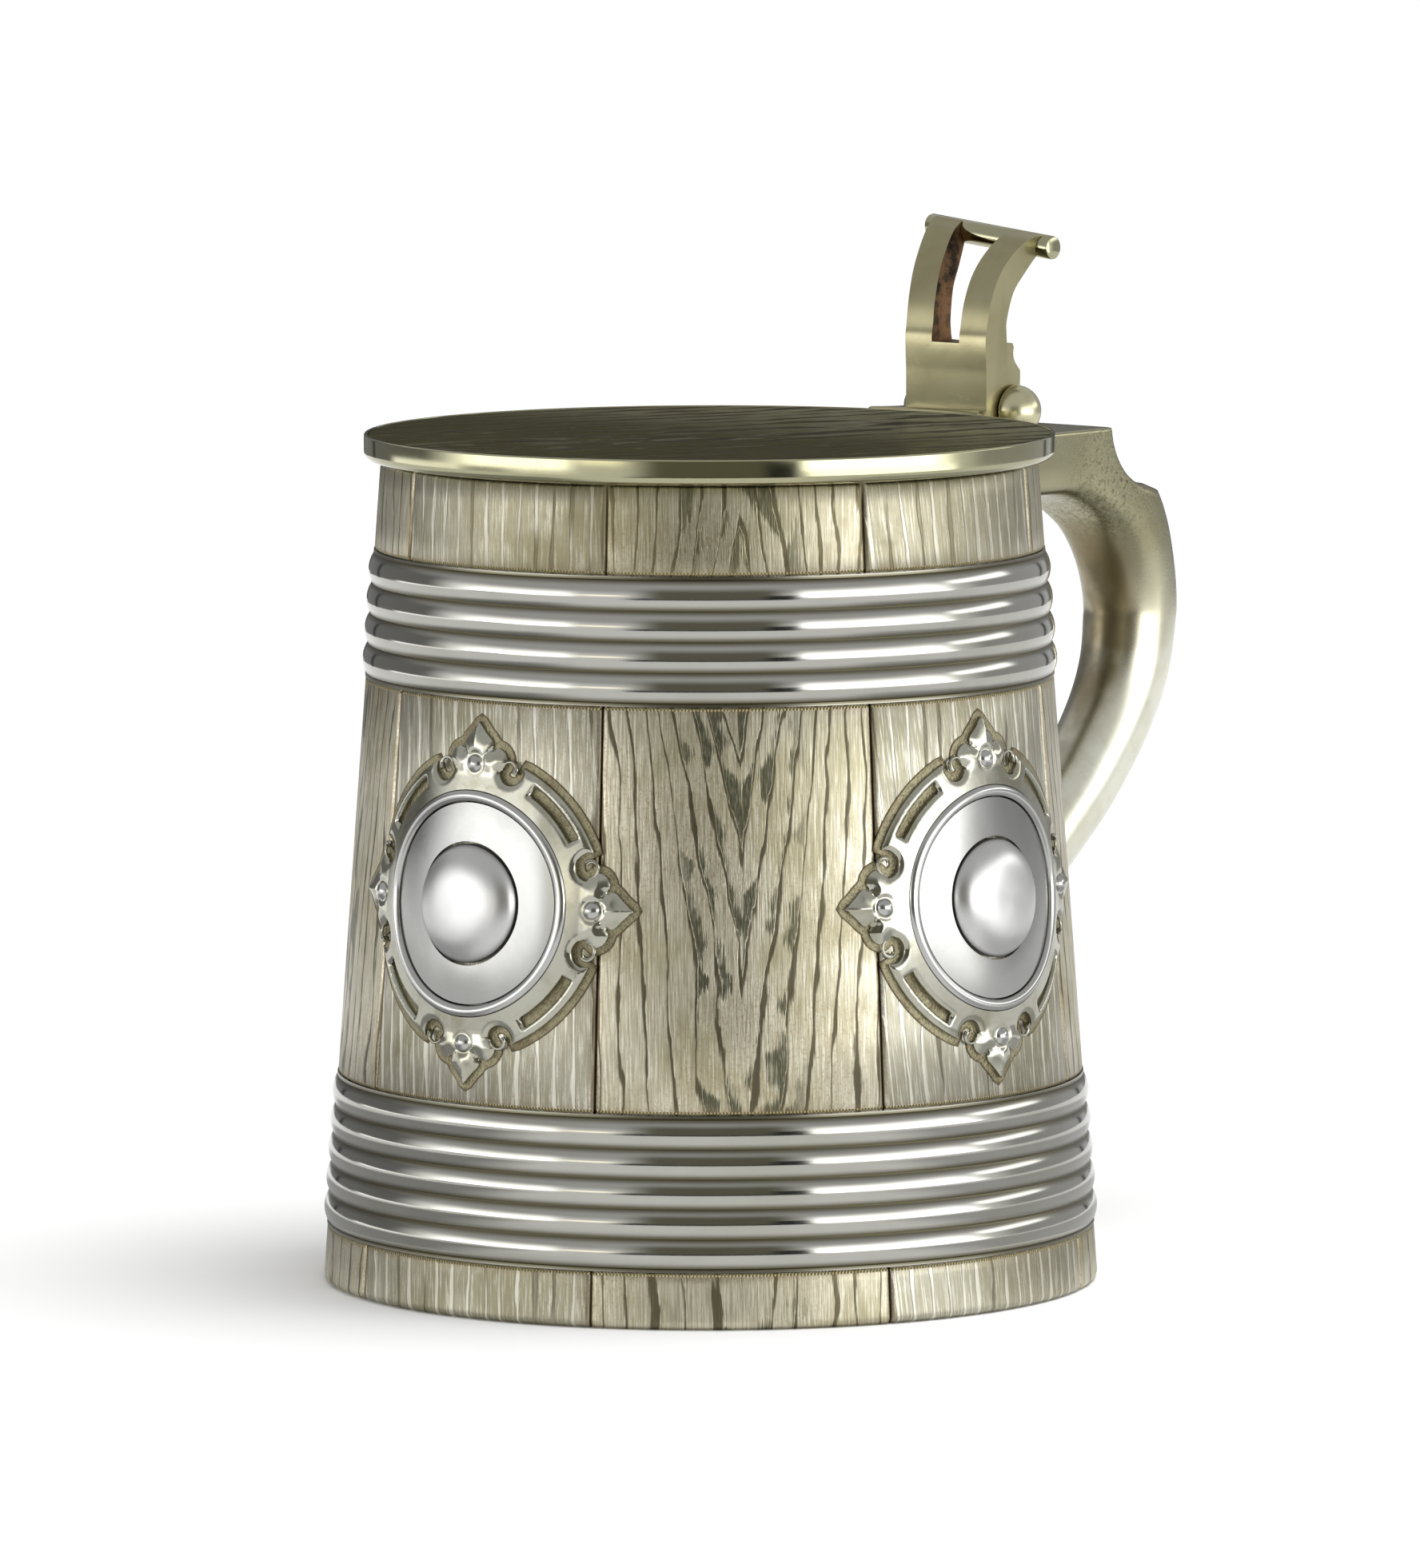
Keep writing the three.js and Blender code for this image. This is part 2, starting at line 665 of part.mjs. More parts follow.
// Leans a leg outwards, more and more towards the crest.
function flareLeg(leg, side) {
  const places = leg.attributes.position;
  const span = thumbRise - thumbSlotRise + thumbLean;
  for (let i = 0; i < places.count; i++) {
    const above = places.getZ(i) - hingeHeight - thumbSlotRise;
    const share = Math.max(0, (above + places.getX(i) - thumbFrontReach) / span) * (above > 0 ? 1 : 0);
    const y = places.getY(i) + side * thumbFlare * share ** 2;
    places.setY(i, y);
    places.setZ(i, places.getZ(i) + thumbBarDip * y * share ** 2);
  }
  return leg;
}

// A rod along the bar's middle line, which falls towards -Y.
function tiltedBar(radius, length) {
  const [x, z] = thumbBarPlace;
  const bar = new THREE.CylinderGeometry(radius, radius, length, rodFacets);
  return bar.rotateX(Math.atan(thumbBarDip)).translate(x, 0, z);
}

// Thumbpiece: two legs rise from a block, lean back and spread to carry a bar. The block ends in the two
// outer knuckles of the hinge.
function buildThumbpiece() {
  const sole = hingeHeight - thumbSole;
  const foot = [[hingeReach, hingeHeight], [hingeReach, sole], [thumbFrontReach, sole]];
  const front = thumbFrontShares.map(thumbPoint);
  const rear = thumbRearShares.map(thumbPoint);
  const slotBottom = hingeHeight + thumbSlotRise;
  const legWidth = (thumbWidth - thumbSlotWidth) / 2;
  let solid = toSolid(rodAcross(knuckleRadius, thumbWidth, hingeReach, hingeHeight));
  for (const side of [1, -1]) {
    const leg = blockAcross([...foot, ...front, thumbBarPlace, ...rear], legWidth);
    leg.translate(0, (side * (thumbSlotWidth + legWidth)) / 2, 0);
    solid = solid.add(toSolid(flareLeg(leg, side)));
  }
  const below = (points) => points.filter(([, z]) => z < slotBottom);
  const block = [...foot, ...below(front), [front[1][0], slotBottom]];
  block.push([rear[5][0], slotBottom], ...below(rear).slice(1));
  solid = solid.add(toSolid(blockAcross(block, thumbSlotWidth + legWidth)));
  const notchRadius = knuckleRadius + knuckleClearance;
  const notchWidth = middleKnuckleLength + 2 * knuckleGap;
  const notchBack = hingeReach - notchRadius;
  const notch = blockAcross(
    [
      [notchBack, hingeHeight],
      [notchBack, sole - overrun],
      [hingeReach + notchRadius, sole - overrun],
      [hingeReach + notchRadius, hingeHeight],
    ],
    notchWidth,
  );
  solid = solid
    .subtract(toSolid(rodAcross(notchRadius, notchWidth, hingeReach, hingeHeight)))
    .subtract(toSolid(notch))
    .subtract(pinBore())
    .subtract(toSolid(tiltedBar(thumbBarRadius + fitGap, thumbBarLength + overrun)));
  addPiece(lid, "thumbpiece", toGeometry(solid), gilt);
}

function buildThumbBar() {
  addPiece(lid, "thumb_bar", tiltedBar(thumbBarRadius, thumbBarLength), gilt);
}

function buildHingePin() {
  const length = thumbWidth + 2 * (fitGap + hingeCapSocket - seatGap);
  addPiece(lid, "hinge_pin", rodAcross(hingePinRadius, length, hingeReach, hingeHeight, pinFacets), gilt);
}

// Ball cap on the end of the pin, on the side that faces the given way along Y.
function buildHingeCap(name, side) {
  const socket = hingePinRadius + runningGap;
  const dome = arcPoints(0, 0, hingeCapRadius, 0, 0.25, 5);
  dome[dome.length - 1][0] = 0;
  const cap = revolve([[0, hingeCapSocket], [socket, hingeCapSocket], [socket, 0], ...dome], pinFacets);
  cap.rotateX((-side * turn) / 4);
  cap.translate(hingeReach, side * (thumbWidth / 2 + fitGap), hingeHeight);
  addPiece(lid, name, cap, gilt);
}

buildBodyWall();
buildBasePlate();
buildHoop("lower_hoop", footHeight, lowerHoopTop, lowerHoopReeds);
buildHoop("upper_hoop", upperHoopBottom, upperHoopTop, upperHoopReeds);
buildBosses();
buildHandle();
buildHandleKnuckle();
buildLidPlate();
buildLidRim();
buildLidBezel();
buildLidTongue();
buildThumbpiece();
buildThumbBar();
buildHingePin();
buildHingeCap("hinge_cap_near", -1);
buildHingeCap("hinge_cap_far", 1);

export default root;
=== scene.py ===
# Covered tankard in silver and silver gilt, shaped like a small oak cask. Every visible piece is
# modelled here in millimetres, in the frame's own axes, and set in metres.
import math

import bmesh
import bpy
import numpy as np
from mathutils import Matrix, Vector
from mathutils.geometry import delaunay_2d_cdt


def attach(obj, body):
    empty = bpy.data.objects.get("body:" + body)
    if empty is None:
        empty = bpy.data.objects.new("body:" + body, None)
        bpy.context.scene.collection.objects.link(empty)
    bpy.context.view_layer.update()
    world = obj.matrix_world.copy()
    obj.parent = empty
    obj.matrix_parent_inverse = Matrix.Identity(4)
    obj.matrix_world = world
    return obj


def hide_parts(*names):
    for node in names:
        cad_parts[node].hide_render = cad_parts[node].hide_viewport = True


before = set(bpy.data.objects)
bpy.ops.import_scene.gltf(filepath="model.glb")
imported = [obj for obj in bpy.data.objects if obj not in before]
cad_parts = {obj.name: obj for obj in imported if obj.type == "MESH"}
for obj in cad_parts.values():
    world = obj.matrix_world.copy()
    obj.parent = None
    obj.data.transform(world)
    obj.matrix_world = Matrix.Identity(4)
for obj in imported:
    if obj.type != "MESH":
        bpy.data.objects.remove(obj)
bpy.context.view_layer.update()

MM = 0.001
TURN = 2 * math.pi
SAME_PLACE = 0.002  # points nearer than this are one point

# Cup, as in the solids
BASE_RADIUS = 62.5
RIM_RADIUS = 52.8
CUP_HEIGHT = 132.2
WALL = 1.7
BASE_PLATE = 1.4
STAVES = 8
JOINT_WIDTH = 0.55
JOINT_DEPTH = 0.4
STAVE_CROWN = 0.12
STAVE_COLUMNS = 44
FOOT_ROUNDING = 1.3
SEAT_LIP = 0.35  # softened edge beside a hoop
MOUTH_LIP = 0.4

# Chased grain: how far the rings are pulled into an arch, and over what width and length
ARCH_PULL = 12.0
ARCH_WIDTH = 22.0
ARCH_LENGTH = 45.0

# Milled line beside each hoop
MILLED_PITCH = 0.55
MILLED_PLACE = 0.32

# Gaps between the solids, which the modelled pieces keep
SEAT_GAP = 0.3
FIT_GAP = 0.2

# Hoops: bottom, height and number of reeds
HOOPS = {"lower_hoop": (9.0, 24.8, 5), "upper_hoop": (97.6, 20.6, 4)}
HOOP_SEAT = 0.6
HOOP_EDGE = 0.55
EDGE_PROUD = 0.12
REED_PROUD = 0.75
# how far the brown tarnish and painted shade reach up from the bottom of each groove
TARNISH_AND_SHADE_REACH = 1.1  # from the bottom of a groove between reeds

# Strapwork bosses
BOSS_TURNS = {"front": 0.5, "right": -0.25, "left": 0.25}
BOSS_HEIGHT = (9.0 + 24.8 + 97.6) / 2
SEAT = 0.1  # where the pieces of a boss start, off the wall
GROUND_FLOOR = -0.25
PLATE_FLOOR = 0.05
PLATE_EDGE = 0.5
PLATE_RISE = 0.4
PLATE_SLOPE = 0.8
FLEUR_RISE = 0.35
BAND_RADIUS = 23.5
RING_INSIDE = 16.1
RING_OUTSIDE = 17.9
RING_SHOULDER = 1.5
DISH_RADIUS = 15.98
DISH_EDGE = 1.45
DISH_RISE = 0.25
DOME_GROOVE = 0.4
DOME_RADIUS = 9.4
DOME_HEIGHT = 3.3
BEAD_REACH = 22.0
BEAD_RADIUS = 1.5
BEAD_SHOULDER = 0.85
BEAD_HEIGHT = 1.25
BORDER_WIDTH = 1.3
PIT_SIZE = 0.42
SLOT_INSIDE = 20.45
SLOT_OUTSIDE = 22.05
SLOT_TURNS = 0.04  # from its middle to each end
HOOK_MIDDLE = (6.8, 21.2)
HOOK_RADIUS = 2.26
CURL_REACH = 1.85
LOBE_POINTS = [(4.58, 20.9), (5.15, 21.5), (5.85, 22.6), (5.3, 23.9), (4.05, 24.6), (2.9, 24.35)]
PETAL_POINTS = [(2.9, 24.35), (2.75, 25.6), (1.45, 26.9), (0, 28.6)]

# Lid
LID_RADIUS = 55.5
LID_SEAT = CUP_HEIGHT + SEAT_GAP
LID_TOP = LID_SEAT + 4.0
LID_PLATE = 1.4
LID_MARGIN = 0.7
RIM_ROUNDINGS = [0.1, 0.2, 1.4, 0.28, 0.15, 0.05]  # from its inner lower corner outwards and round
BEZEL_DEPTH = 4.0
BEZEL_THICKNESS = 1.2
LID_GRAIN_ANGLE = 19.0  # degrees from the handle's side

# Handle
BRACKET_TOP = 132.0
BRACKET_DEPTH = 11.0
BRACKET_WIDTH = 17.0
BRACKET_REACH = 93.2
COVE_RADIUS = 11.3
COVE_DEPTH = 10.0
COVE_LIP = 1.0
HANDLE_REACH = 116.3
HANDLE_TUBE = 7.8
HANDLE_TIP = 6.0
ELBOW_RADIUS = 21.0
BACK_RADIUS = 30.0
FOOT_HEIGHT = 46.0
ROUND = 2.0  # power of a round section, to which squareness is added
SOFT = 2.0  # under the bracket
SQUARE = 22.0  # on top of it
TUBE_RUN_SHARES = [
    (1, 1), (0.968, 0.833), (0.881, 0.678), (0.721, 0.498), (0.559, 0.361),
    (0.423, 0.252), (0.281, 0.148), (0.14, 0.065), (0, 0), (-0.1, -0.035),
]

# Hinge and thumbpiece
HINGE = (66.8, 136.4)
KNUCKLE_RADIUS = 4.1
KNUCKLE_LENGTH = 7.0
KNUCKLE_ROOM = 0.65  # all round the middle knuckle
KNUCKLE_SIDE_ROOM = 0.4
KNUCKLE_FOOT = 9.0
PIN_RADIUS = 1.25
PIN_END = 1.8
CAP_RADIUS = 4.25
CAP_COLLAR = 0.45
THUMB_WIDTH = 17.0
THUMB_SLOT = 5.8
THUMB_SLOT_RISE = 11.2
THUMB_FRONT = 60.0
THUMB_RISE = 29.9
THUMB_LEAN = 12.0
THUMB_SOLE = 3.5
THUMB_FLARE = 2.9
BAR_RADIUS = 1.95
BAR_LENGTH = 26.0
BAR_DIP = 0.105
THUMB_FRONT_SHARES = [
    (0, 0.204), (-0.017, 0.388), (0.008, 0.455), (0.067, 0.589),
    (0.192, 0.732), (0.383, 0.849), (0.642, 0.95), (0.917, 1),
]
THUMB_REAR_SHARES = [(0.85, 0.853), (0.692, 0.763), (0.517, 0.656), (0.417, 0.498), (0.417, 0.408)]
THUMB_STEP_SHARES = [
    (0.433, 0.378), (0.567, 0.371), (0.592, 0.348), (0.583, 0.314),
    (0.608, 0.274), (0.692, 0.234), (0.733, 0.211), (0.725, 0.127),
]
TONGUE_FLARE = 3.6
TONGUE_RISE = 0.4
TONGUE_THICKNESS = 3.9
TONGUE_OVERLAP = 0.6  # into the fork
TONGUE_GAP = 0.12  # from the lid


# Small geometry helpers

def wall_radius(height):
    """The radius of the cup's outside at a height."""
    return BASE_RADIUS + (RIM_RADIUS - BASE_RADIUS) * height / CUP_HEIGHT


def arc(centre_x, centre_y, radius, start, end, steps):
    """Points of an arc, with its angles in turns and both ends included."""
    angles = TURN * np.linspace(start, end, steps + 1)
    return np.stack([centre_x + radius * np.cos(angles), centre_y + radius * np.sin(angles)], -1)


def rounded(points, radii, steps=4):
    """An open or closed outline with each corner replaced by an arc of its own radius."""
    points = [Vector(p) for p in points]
    result = []
    for i, corner in enumerate(points):
        radius = radii[i] if i < len(radii) else 0
        if radius <= 0:
            result.append(tuple(corner))
            continue
        before = (points[i - 1] - corner).normalized()
        after = (points[(i + 1) % len(points)] - corner).normalized()
        half = before.angle(after) / 2
        middle = corner + (before + after).normalized() * (radius / math.sin(half))
        first = corner + before * (radius / math.tan(half))
        last = corner + after * (radius / math.tan(half))
        for step in range(steps + 1):
            chord = first.lerp(last, step / steps) - middle
            result.append(tuple(middle + chord.normalized() * radius))
    return result


def smooth_curve(points, steps):
    """A smooth curve through the points, as a dense list."""
    points = [np.array(p, float) for p in points]
    padded = [2 * points[0] - points[1], *points, 2 * points[-1] - points[-2]]
    result = []
    for a, b, c, d in zip(padded, padded[1:], padded[2:], padded[3:]):
        slope = c - a
        bend = 2 * a - 5 * b + 4 * c - d
        twist = 3 * b - a - 3 * c + d
        for t in np.arange(steps) / steps:
            result.append(0.5 * (2 * b + slope * t + bend * t**2 + twist * t**3))
    result.append(points[-1])
    return np.array(result)


def smoothstep(low, high, value):
    t = np.clip((value - low) / (high - low), 0, 1)
    return t * t * (3 - 2 * t)


def placed(name, data):
    """A new object in the scene."""
    thing = bpy.data.objects.new(name, data)
    bpy.context.scene.collection.objects.link(thing)
    return thing


def close_and_face_out(mesh):
    """Merges points that lie on each other and turns every face outwards."""
    shaped = bmesh.new()
    shaped.from_mesh(mesh)
    bmesh.ops.remove_doubles(shaped, verts=shaped.verts, dist=SAME_PLACE * MM)
    bmesh.ops.recalc_face_normals(shaped, faces=shaped.faces)
    shaped.to_mesh(mesh)
    shaped.free()


def plain_mesh(name, vertices, faces):
    """A mesh object made of points in millimetres, with no material yet."""
    mesh = bpy.data.meshes.new(name)
    mesh.from_pydata((np.array(vertices, float) * MM).tolist(), [], [list(f) for f in faces])
    mesh.validate()
    close_and_face_out(mesh)
    return placed(name, mesh)


def new_piece(name, vertices, faces, material, body, replaces=(), sharp=35):
    """A finished piece made of points in millimetres."""
    piece = plain_mesh(name, vertices, faces)
    finish_piece(piece, material, body, replaces, sharp)
    return piece


def finish_piece(piece, material, body, replaces=(), sharp=35):
    """Shades a piece and sets it on its body. Edges sharper than the given angle stay crisp."""
    mesh = piece.data
    close_and_face_out(mesh)
    mesh.shade_smooth()
    mesh.set_sharp_from_angle(angle=math.radians(sharp))
    mesh.materials.clear()
    mesh.materials.append(material)
    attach(piece, body)
    if replaces:
        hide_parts(*replaces)


def rows_to_faces(rows, columns, joined=False, first=0):
    """Quads between closed rows of points, from the point numbered first. The last row meets the first
    one where they are joined."""
    faces = []
    for i in range(rows if joined else rows - 1):
        low = first + i * columns
        high = first + (i + 1) % rows * columns
        for j in range(columns):
            k = (j + 1) % columns
            faces.append((low + j, low + k, high + k, high + j))
    return faces


def end_faces(rows, columns, first=0):
    """The two flat ends of a run of closed rows."""
    last = first + (rows - 1) * columns
    return [tuple(range(first + columns - 1, first - 1, -1)), tuple(range(last, last + columns))]


def fan(centre, first, columns):
    """Triangles from one point to a closed row."""
    return [(centre, first + j, first + (j + 1) % columns) for j in range(columns)]


def lathe(profile, segments=192):
    """A solid of revolution about the cup's axis from (radius, height) points. A profile that starts
    and ends on the axis closes there, and any other is joined to itself."""
    profile = np.array(profile, float)
    on_axis = abs(profile[0][0]) < 1e-6 and abs(profile[-1][0]) < 1e-6
    body = profile[1:-1] if on_axis else profile
    angles = TURN * np.arange(segments) / segments
    vertices = [(r * math.cos(a), r * math.sin(a), z) for r, z in body for a in angles]
    faces = rows_to_faces(len(body), segments, joined=not on_axis)
    if on_axis:
        for end, row in ((profile[0], 0), (profile[-1], len(body) - 1)):
            faces += fan(len(vertices), row * segments, segments)
            vertices.append((0, 0, end[1]))
    return vertices, faces


def prism_across(outline, y_low, y_high):
    """An outline of (x, z) points made a block between two places on Y."""
    count = len(outline)
    vertices = [(x, y, z) for y in (y_low, y_high) for x, z in outline]
    return vertices, rows_to_faces(2, count) + end_faces(2, count)


def give_second_finish(piece, material, chosen):
    """Puts another material on the faces that the test picks by their middle and normal."""
    piece.data.materials.append(material)
    for polygon in piece.data.polygons:
        if chosen(polygon.center / MM, polygon.normal):
            polygon.material_index = 1


def mark_points(piece, values):
    """Keeps a groove mark for each point, which the materials read."""
    marks = piece.data.attributes.new("groove", "FLOAT", "POINT")
    for item, value in zip(marks.data, values):
        item.value = value


def joined_or_cut(piece, other, operation):
    """Joins another mesh to a piece, or cuts it out, and removes the other."""
    modifier = piece.modifiers.new("cut", "BOOLEAN")
    modifier.operation = operation
    modifier.solver = "EXACT"
    modifier.object = other
    apply_modifiers(piece)
    bpy.data.objects.remove(other)


def apply_modifiers(piece):
    """Makes what the modifiers show the piece's own mesh."""
    graph = bpy.context.evaluated_depsgraph_get()
    mesh = bpy.data.meshes.new_from_object(piece.evaluated_get(graph))
    piece.modifiers.clear()
    old = piece.data
    piece.data = mesh
    mesh.name = old.name
    bpy.data.meshes.remove(old)


def soften_edges(piece, width, segments=3, angle=30):
    """Rounds the edges sharper than the angle."""
    modifier = piece.modifiers.new("soften", "BEVEL")
    modifier.width = width * MM
    modifier.segments = segments
    modifier.limit_method = "ANGLE"
    modifier.angle_limit = math.radians(angle)
    modifier.miter_outer = "MITER_ARC"
    apply_modifiers(piece)


# Shader helpers

class Wiring:
    """Adds nodes to a shader tree. An input can be a value or another node's output."""

    def __init__(self, tree):
        self.tree = tree

    def add(self, kind, inputs=None, **settings):
        """A node with its settings and then its inputs, which some settings change."""
        node = self.tree.nodes.new(kind)
        for key, value in settings.items():
            setattr(node, key, value)
        for key, value in (inputs or {}).items():
            self.give(node.inputs[key], value)
        return node

    def give(self, socket, value):
        """Wires another node's output to an input, or sets its value."""
        if isinstance(value, bpy.types.NodeSocket):
            self.tree.links.new(value, socket)
        else:
            socket.default_value = value

    def math(self, operation, *values, clamp=False):
        inputs = dict(enumerate(values))
        return self.add("ShaderNodeMath", inputs, operation=operation, use_clamp=clamp).outputs[0]

    def times(self, first, second):
        return self.math("MULTIPLY", first, second)

    def plus(self, first, second, clamp=False):
        return self.math("ADD", first, second, clamp=clamp)

    def minus(self, first, second):
        return self.math("SUBTRACT", first, second)

    def over(self, first, second):
        return self.math("DIVIDE", first, second)

    def size(self, value):
        """The value without its sign."""
        return self.math("ABSOLUTE", value)

    def steps(self, value, low, high, to_low=0.0, to_high=1.0):
        """A smooth step between two values, which stays level outside them."""
        inputs = {"Value": value, "From Min": low, "From Max": high, "To Min": to_low, "To Max": to_high}
        return self.add("ShaderNodeMapRange", inputs, interpolation_type="SMOOTHSTEP").outputs[0]

    def mix(self, factor, first, second):
        """One colour turned into another. The Mix node has sockets for each kind of data, so the
        colour ones are found by their number."""
        node = self.add("ShaderNodeMix", data_type="RGBA")
        for index, value in ((0, factor), (6, first), (7, second)):
            self.give(node.inputs[index], value)
        return node.outputs[2]

    def point(self, x, y, z=0.0):
        return self.add("ShaderNodeCombineXYZ", {"X": x, "Y": y, "Z": z}).outputs[0]

    def noise(self, vector, scale, detail=2.0, roughness=0.5, distortion=0.0):
        inputs = {
            "Vector": vector, "Scale": scale, "Detail": detail,
            "Roughness": roughness, "Distortion": distortion,
        }
        return self.add("ShaderNodeTexNoise", inputs).outputs["Fac"]

    def place(self):
        """The point's place in metres, on the piece as it is modelled."""
        return self.add("ShaderNodeTexCoord").outputs["Object"]

    def parts(self, vector):
        return self.add("ShaderNodeSeparateXYZ", {"Vector": vector}).outputs

    def relief(self, height, depth):
        """Relief in the light from a height between 0 and 1 and a depth in millimetres."""
        inputs = {"Strength": 1.0, "Distance": depth * MM, "Height": height}
        return self.add("ShaderNodeBump", inputs).outputs[0]

    def marks(self):
        """The groove marks that a piece carries on its points."""
        return self.add("ShaderNodeAttribute", attribute_name="groove").outputs["Fac"]

    def seen_rays(self):
        """1 on the rays that show the white surround: those of the camera, of gloss and of glass."""
        path = self.add("ShaderNodeLightPath").outputs
        mirrored = self.math("MAXIMUM", path["Is Glossy Ray"], path["Is Transmission Ray"])
        return self.math("MAXIMUM", path["Is Camera Ray"], mirrored)


def rgb(red, green, blue):
    return (red, green, blue, 1.0)


def new_group(name, inputs, outputs):
    """A shader node group. Inputs and outputs are name and kind, with a starting value for inputs."""
    tree = bpy.data.node_groups.new(name, "ShaderNodeTree")
    kinds = {"value": "NodeSocketFloat", "color": "NodeSocketColor", "vector": "NodeSocketVector"}
    for socket_name, kind, start in inputs:
        socket = tree.interface.new_socket(socket_name, in_out="INPUT", socket_type=kinds[kind])
        if start is not None:
            socket.default_value = start
    for socket_name, kind in outputs:
        tree.interface.new_socket(socket_name, in_out="OUTPUT", socket_type=kinds[kind])
    wiring = Wiring(tree)
    return wiring, wiring.add("NodeGroupInput").outputs, wiring.add("NodeGroupOutput").inputs


def build_unrolled_wall():
    """Millimetre coordinates on the cup's wall: across each stave, up the wall, and the stave's number."""
    w, _, result = new_group(
        "unrolled_wall",
        [],
        [
            ("Across", "value"), ("Up", "value"), ("Stave", "value"),
            ("Joint Distance", "value"), ("Hoop Distance", "value"),
        ],
    )
    place = w.place()
    parts = w.parts(place)
    radius = w.math("SQRT", w.plus(w.times(parts["X"], parts["X"]), w.times(parts["Y"], parts["Y"])))
    radius_mm = w.over(radius, MM)
    angle = w.math("ARCTAN2", parts["Y"], parts["X"])
    stave = w.math("ROUND", w.over(angle, TURN / STAVES))
    across = w.times(w.minus(angle, w.times(stave, TURN / STAVES)), radius_mm)
    half_width = w.times(radius_mm, TURN / STAVES / 2)
    up = w.over(parts["Z"], MM)
    nearest = 1000.0
    for bottom, height, _ in HOOPS.values():
        from_middle = w.size(w.minus(up, bottom + height / 2))
        nearest = w.math("MINIMUM", nearest, w.minus(from_middle, height / 2))
    w.give(result["Hoop Distance"], nearest)
    w.give(result["Across"], across)
    w.give(result["Up"], up)
    w.give(result["Stave"], w.math("MODULO", w.plus(stave, STAVES), STAVES))
    w.give(result["Joint Distance"], w.minus(half_width, w.size(across)))
    return w.tree


def build_wood_grain():
    """Chased wood grain on a flat sheet in millimetres. Growth rings cut at a slant make pointed arches
    that close away from the Middle height; far from the Axis they run straight along Up. Flame is the
    hatched shade on the inner side of the arches, and Ring Tone tells one line from the next."""
    w, given, result = new_group(
        "wood_grain",
        [
            ("Across", "value", 0.0), ("Up", "value", 0.0), ("Ring Spacing", "value", 2.6),
            ("Middle", "value", 100.0), ("Axis", "value", 0.0), ("Line Share", "value", 0.13),
            ("Waver", "value", 1.0), ("Seed", "value", 0.0),
        ],
        [("Groove", "value"), ("Flame", "value"), ("Fibre", "value"), ("Ring Tone", "value")],
    )
    up = given["Up"]
    seed = w.times(given["Seed"], 37.0)

    def cloud(across_shape, up_stretch, third, detail=2.0, roughness=0.5):
        """Noise that is drawn out along the grain by a small up stretch."""
        return w.noise(w.point(across_shape, w.times(up, up_stretch), third), 1.0, detail, roughness)

    # the rings lie straight and are pulled into arches near the axis
    drift = w.noise(w.point(seed, w.times(up, 0.022)), 1.0, detail=1.0)
    across = w.plus(w.minus(given["Across"], given["Axis"]), w.times(w.minus(drift, 0.5), 3.0))
    away = w.size(w.minus(up, given["Middle"]))
    drawn = w.minus(1.0, w.math("EXPONENT", w.over(away, -ARCH_LENGTH)))
    nearness = w.minus(1.0, w.math("MINIMUM", w.over(w.size(across), ARCH_WIDTH), 1.0))
    rings = w.plus(w.size(across), w.times(w.times(drawn, nearness), ARCH_PULL))

    # they waver broadly, closely and in the single strokes of the chasing tool
    broad = w.minus(cloud(w.times(across, 0.16), 0.03, seed), 0.5)
    close = w.minus(cloud(w.times(across, 0.6), 0.11, seed, 3.0), 0.5)
    hatch = w.minus(cloud(w.times(across, 4.5), 0.16, seed, 3.0), 0.5)
    waver = w.times(w.plus(w.times(broad, 3.4), close), given["Waver"])
    waver = w.plus(waver, w.times(hatch, 0.3))
    phase = w.over(w.plus(rings, waver), given["Ring Spacing"])
    share = w.math("FRACT", phase)
    ring_number = w.math("FLOOR", phase)
    side = w.math("SIGN", across)

    # each ring has one line, which swells and fades along its length
    strength = cloud(w.plus(w.times(ring_number, 1.7), seed), 0.07, w.times(side, 3.0))
    width = w.times(given["Line Share"], w.steps(strength, 0.35, 0.72, 0.85, 2.2))
    rise = w.steps(share, 0.0, 0.04)
    fall = w.steps(w.minus(share, width), -0.03, 0.05, 1.0, 0.0)
    fade = w.steps(strength, 0.28, 0.42, 0.6, 1.0)
    w.give(result["Groove"], w.times(w.times(rise, fall), fade))

    # the shade grows out of a line in stretches, near the axis, with a ragged upright edge
    stretch = cloud(w.plus(w.times(ring_number, 2.3), seed), 0.08, side)
    growth = w.plus(w.plus(share, w.times(w.minus(stretch, 0.5), 5.0)), w.times(hatch, 1.1))
    heart = w.steps(w.size(across), 7.0, 12.0, 1.0, 0.0)
    strokes = cloud(w.times(given["Across"], 9.0), 0.5, seed)
    flame = w.times(w.steps(growth, 0.85, 1.1), heart)
    w.give(result["Flame"], w.times(flame, w.steps(strokes, 0.3, 0.5, 0.6, 1.0)))
    w.give(result["Fibre"], cloud(w.times(given["Across"], 3.0), 0.13, seed, 4.0, 0.68))
    w.give(result["Ring Tone"], cloud(w.times(ring_number, 3.1), 0.02, seed))
    return w.tree


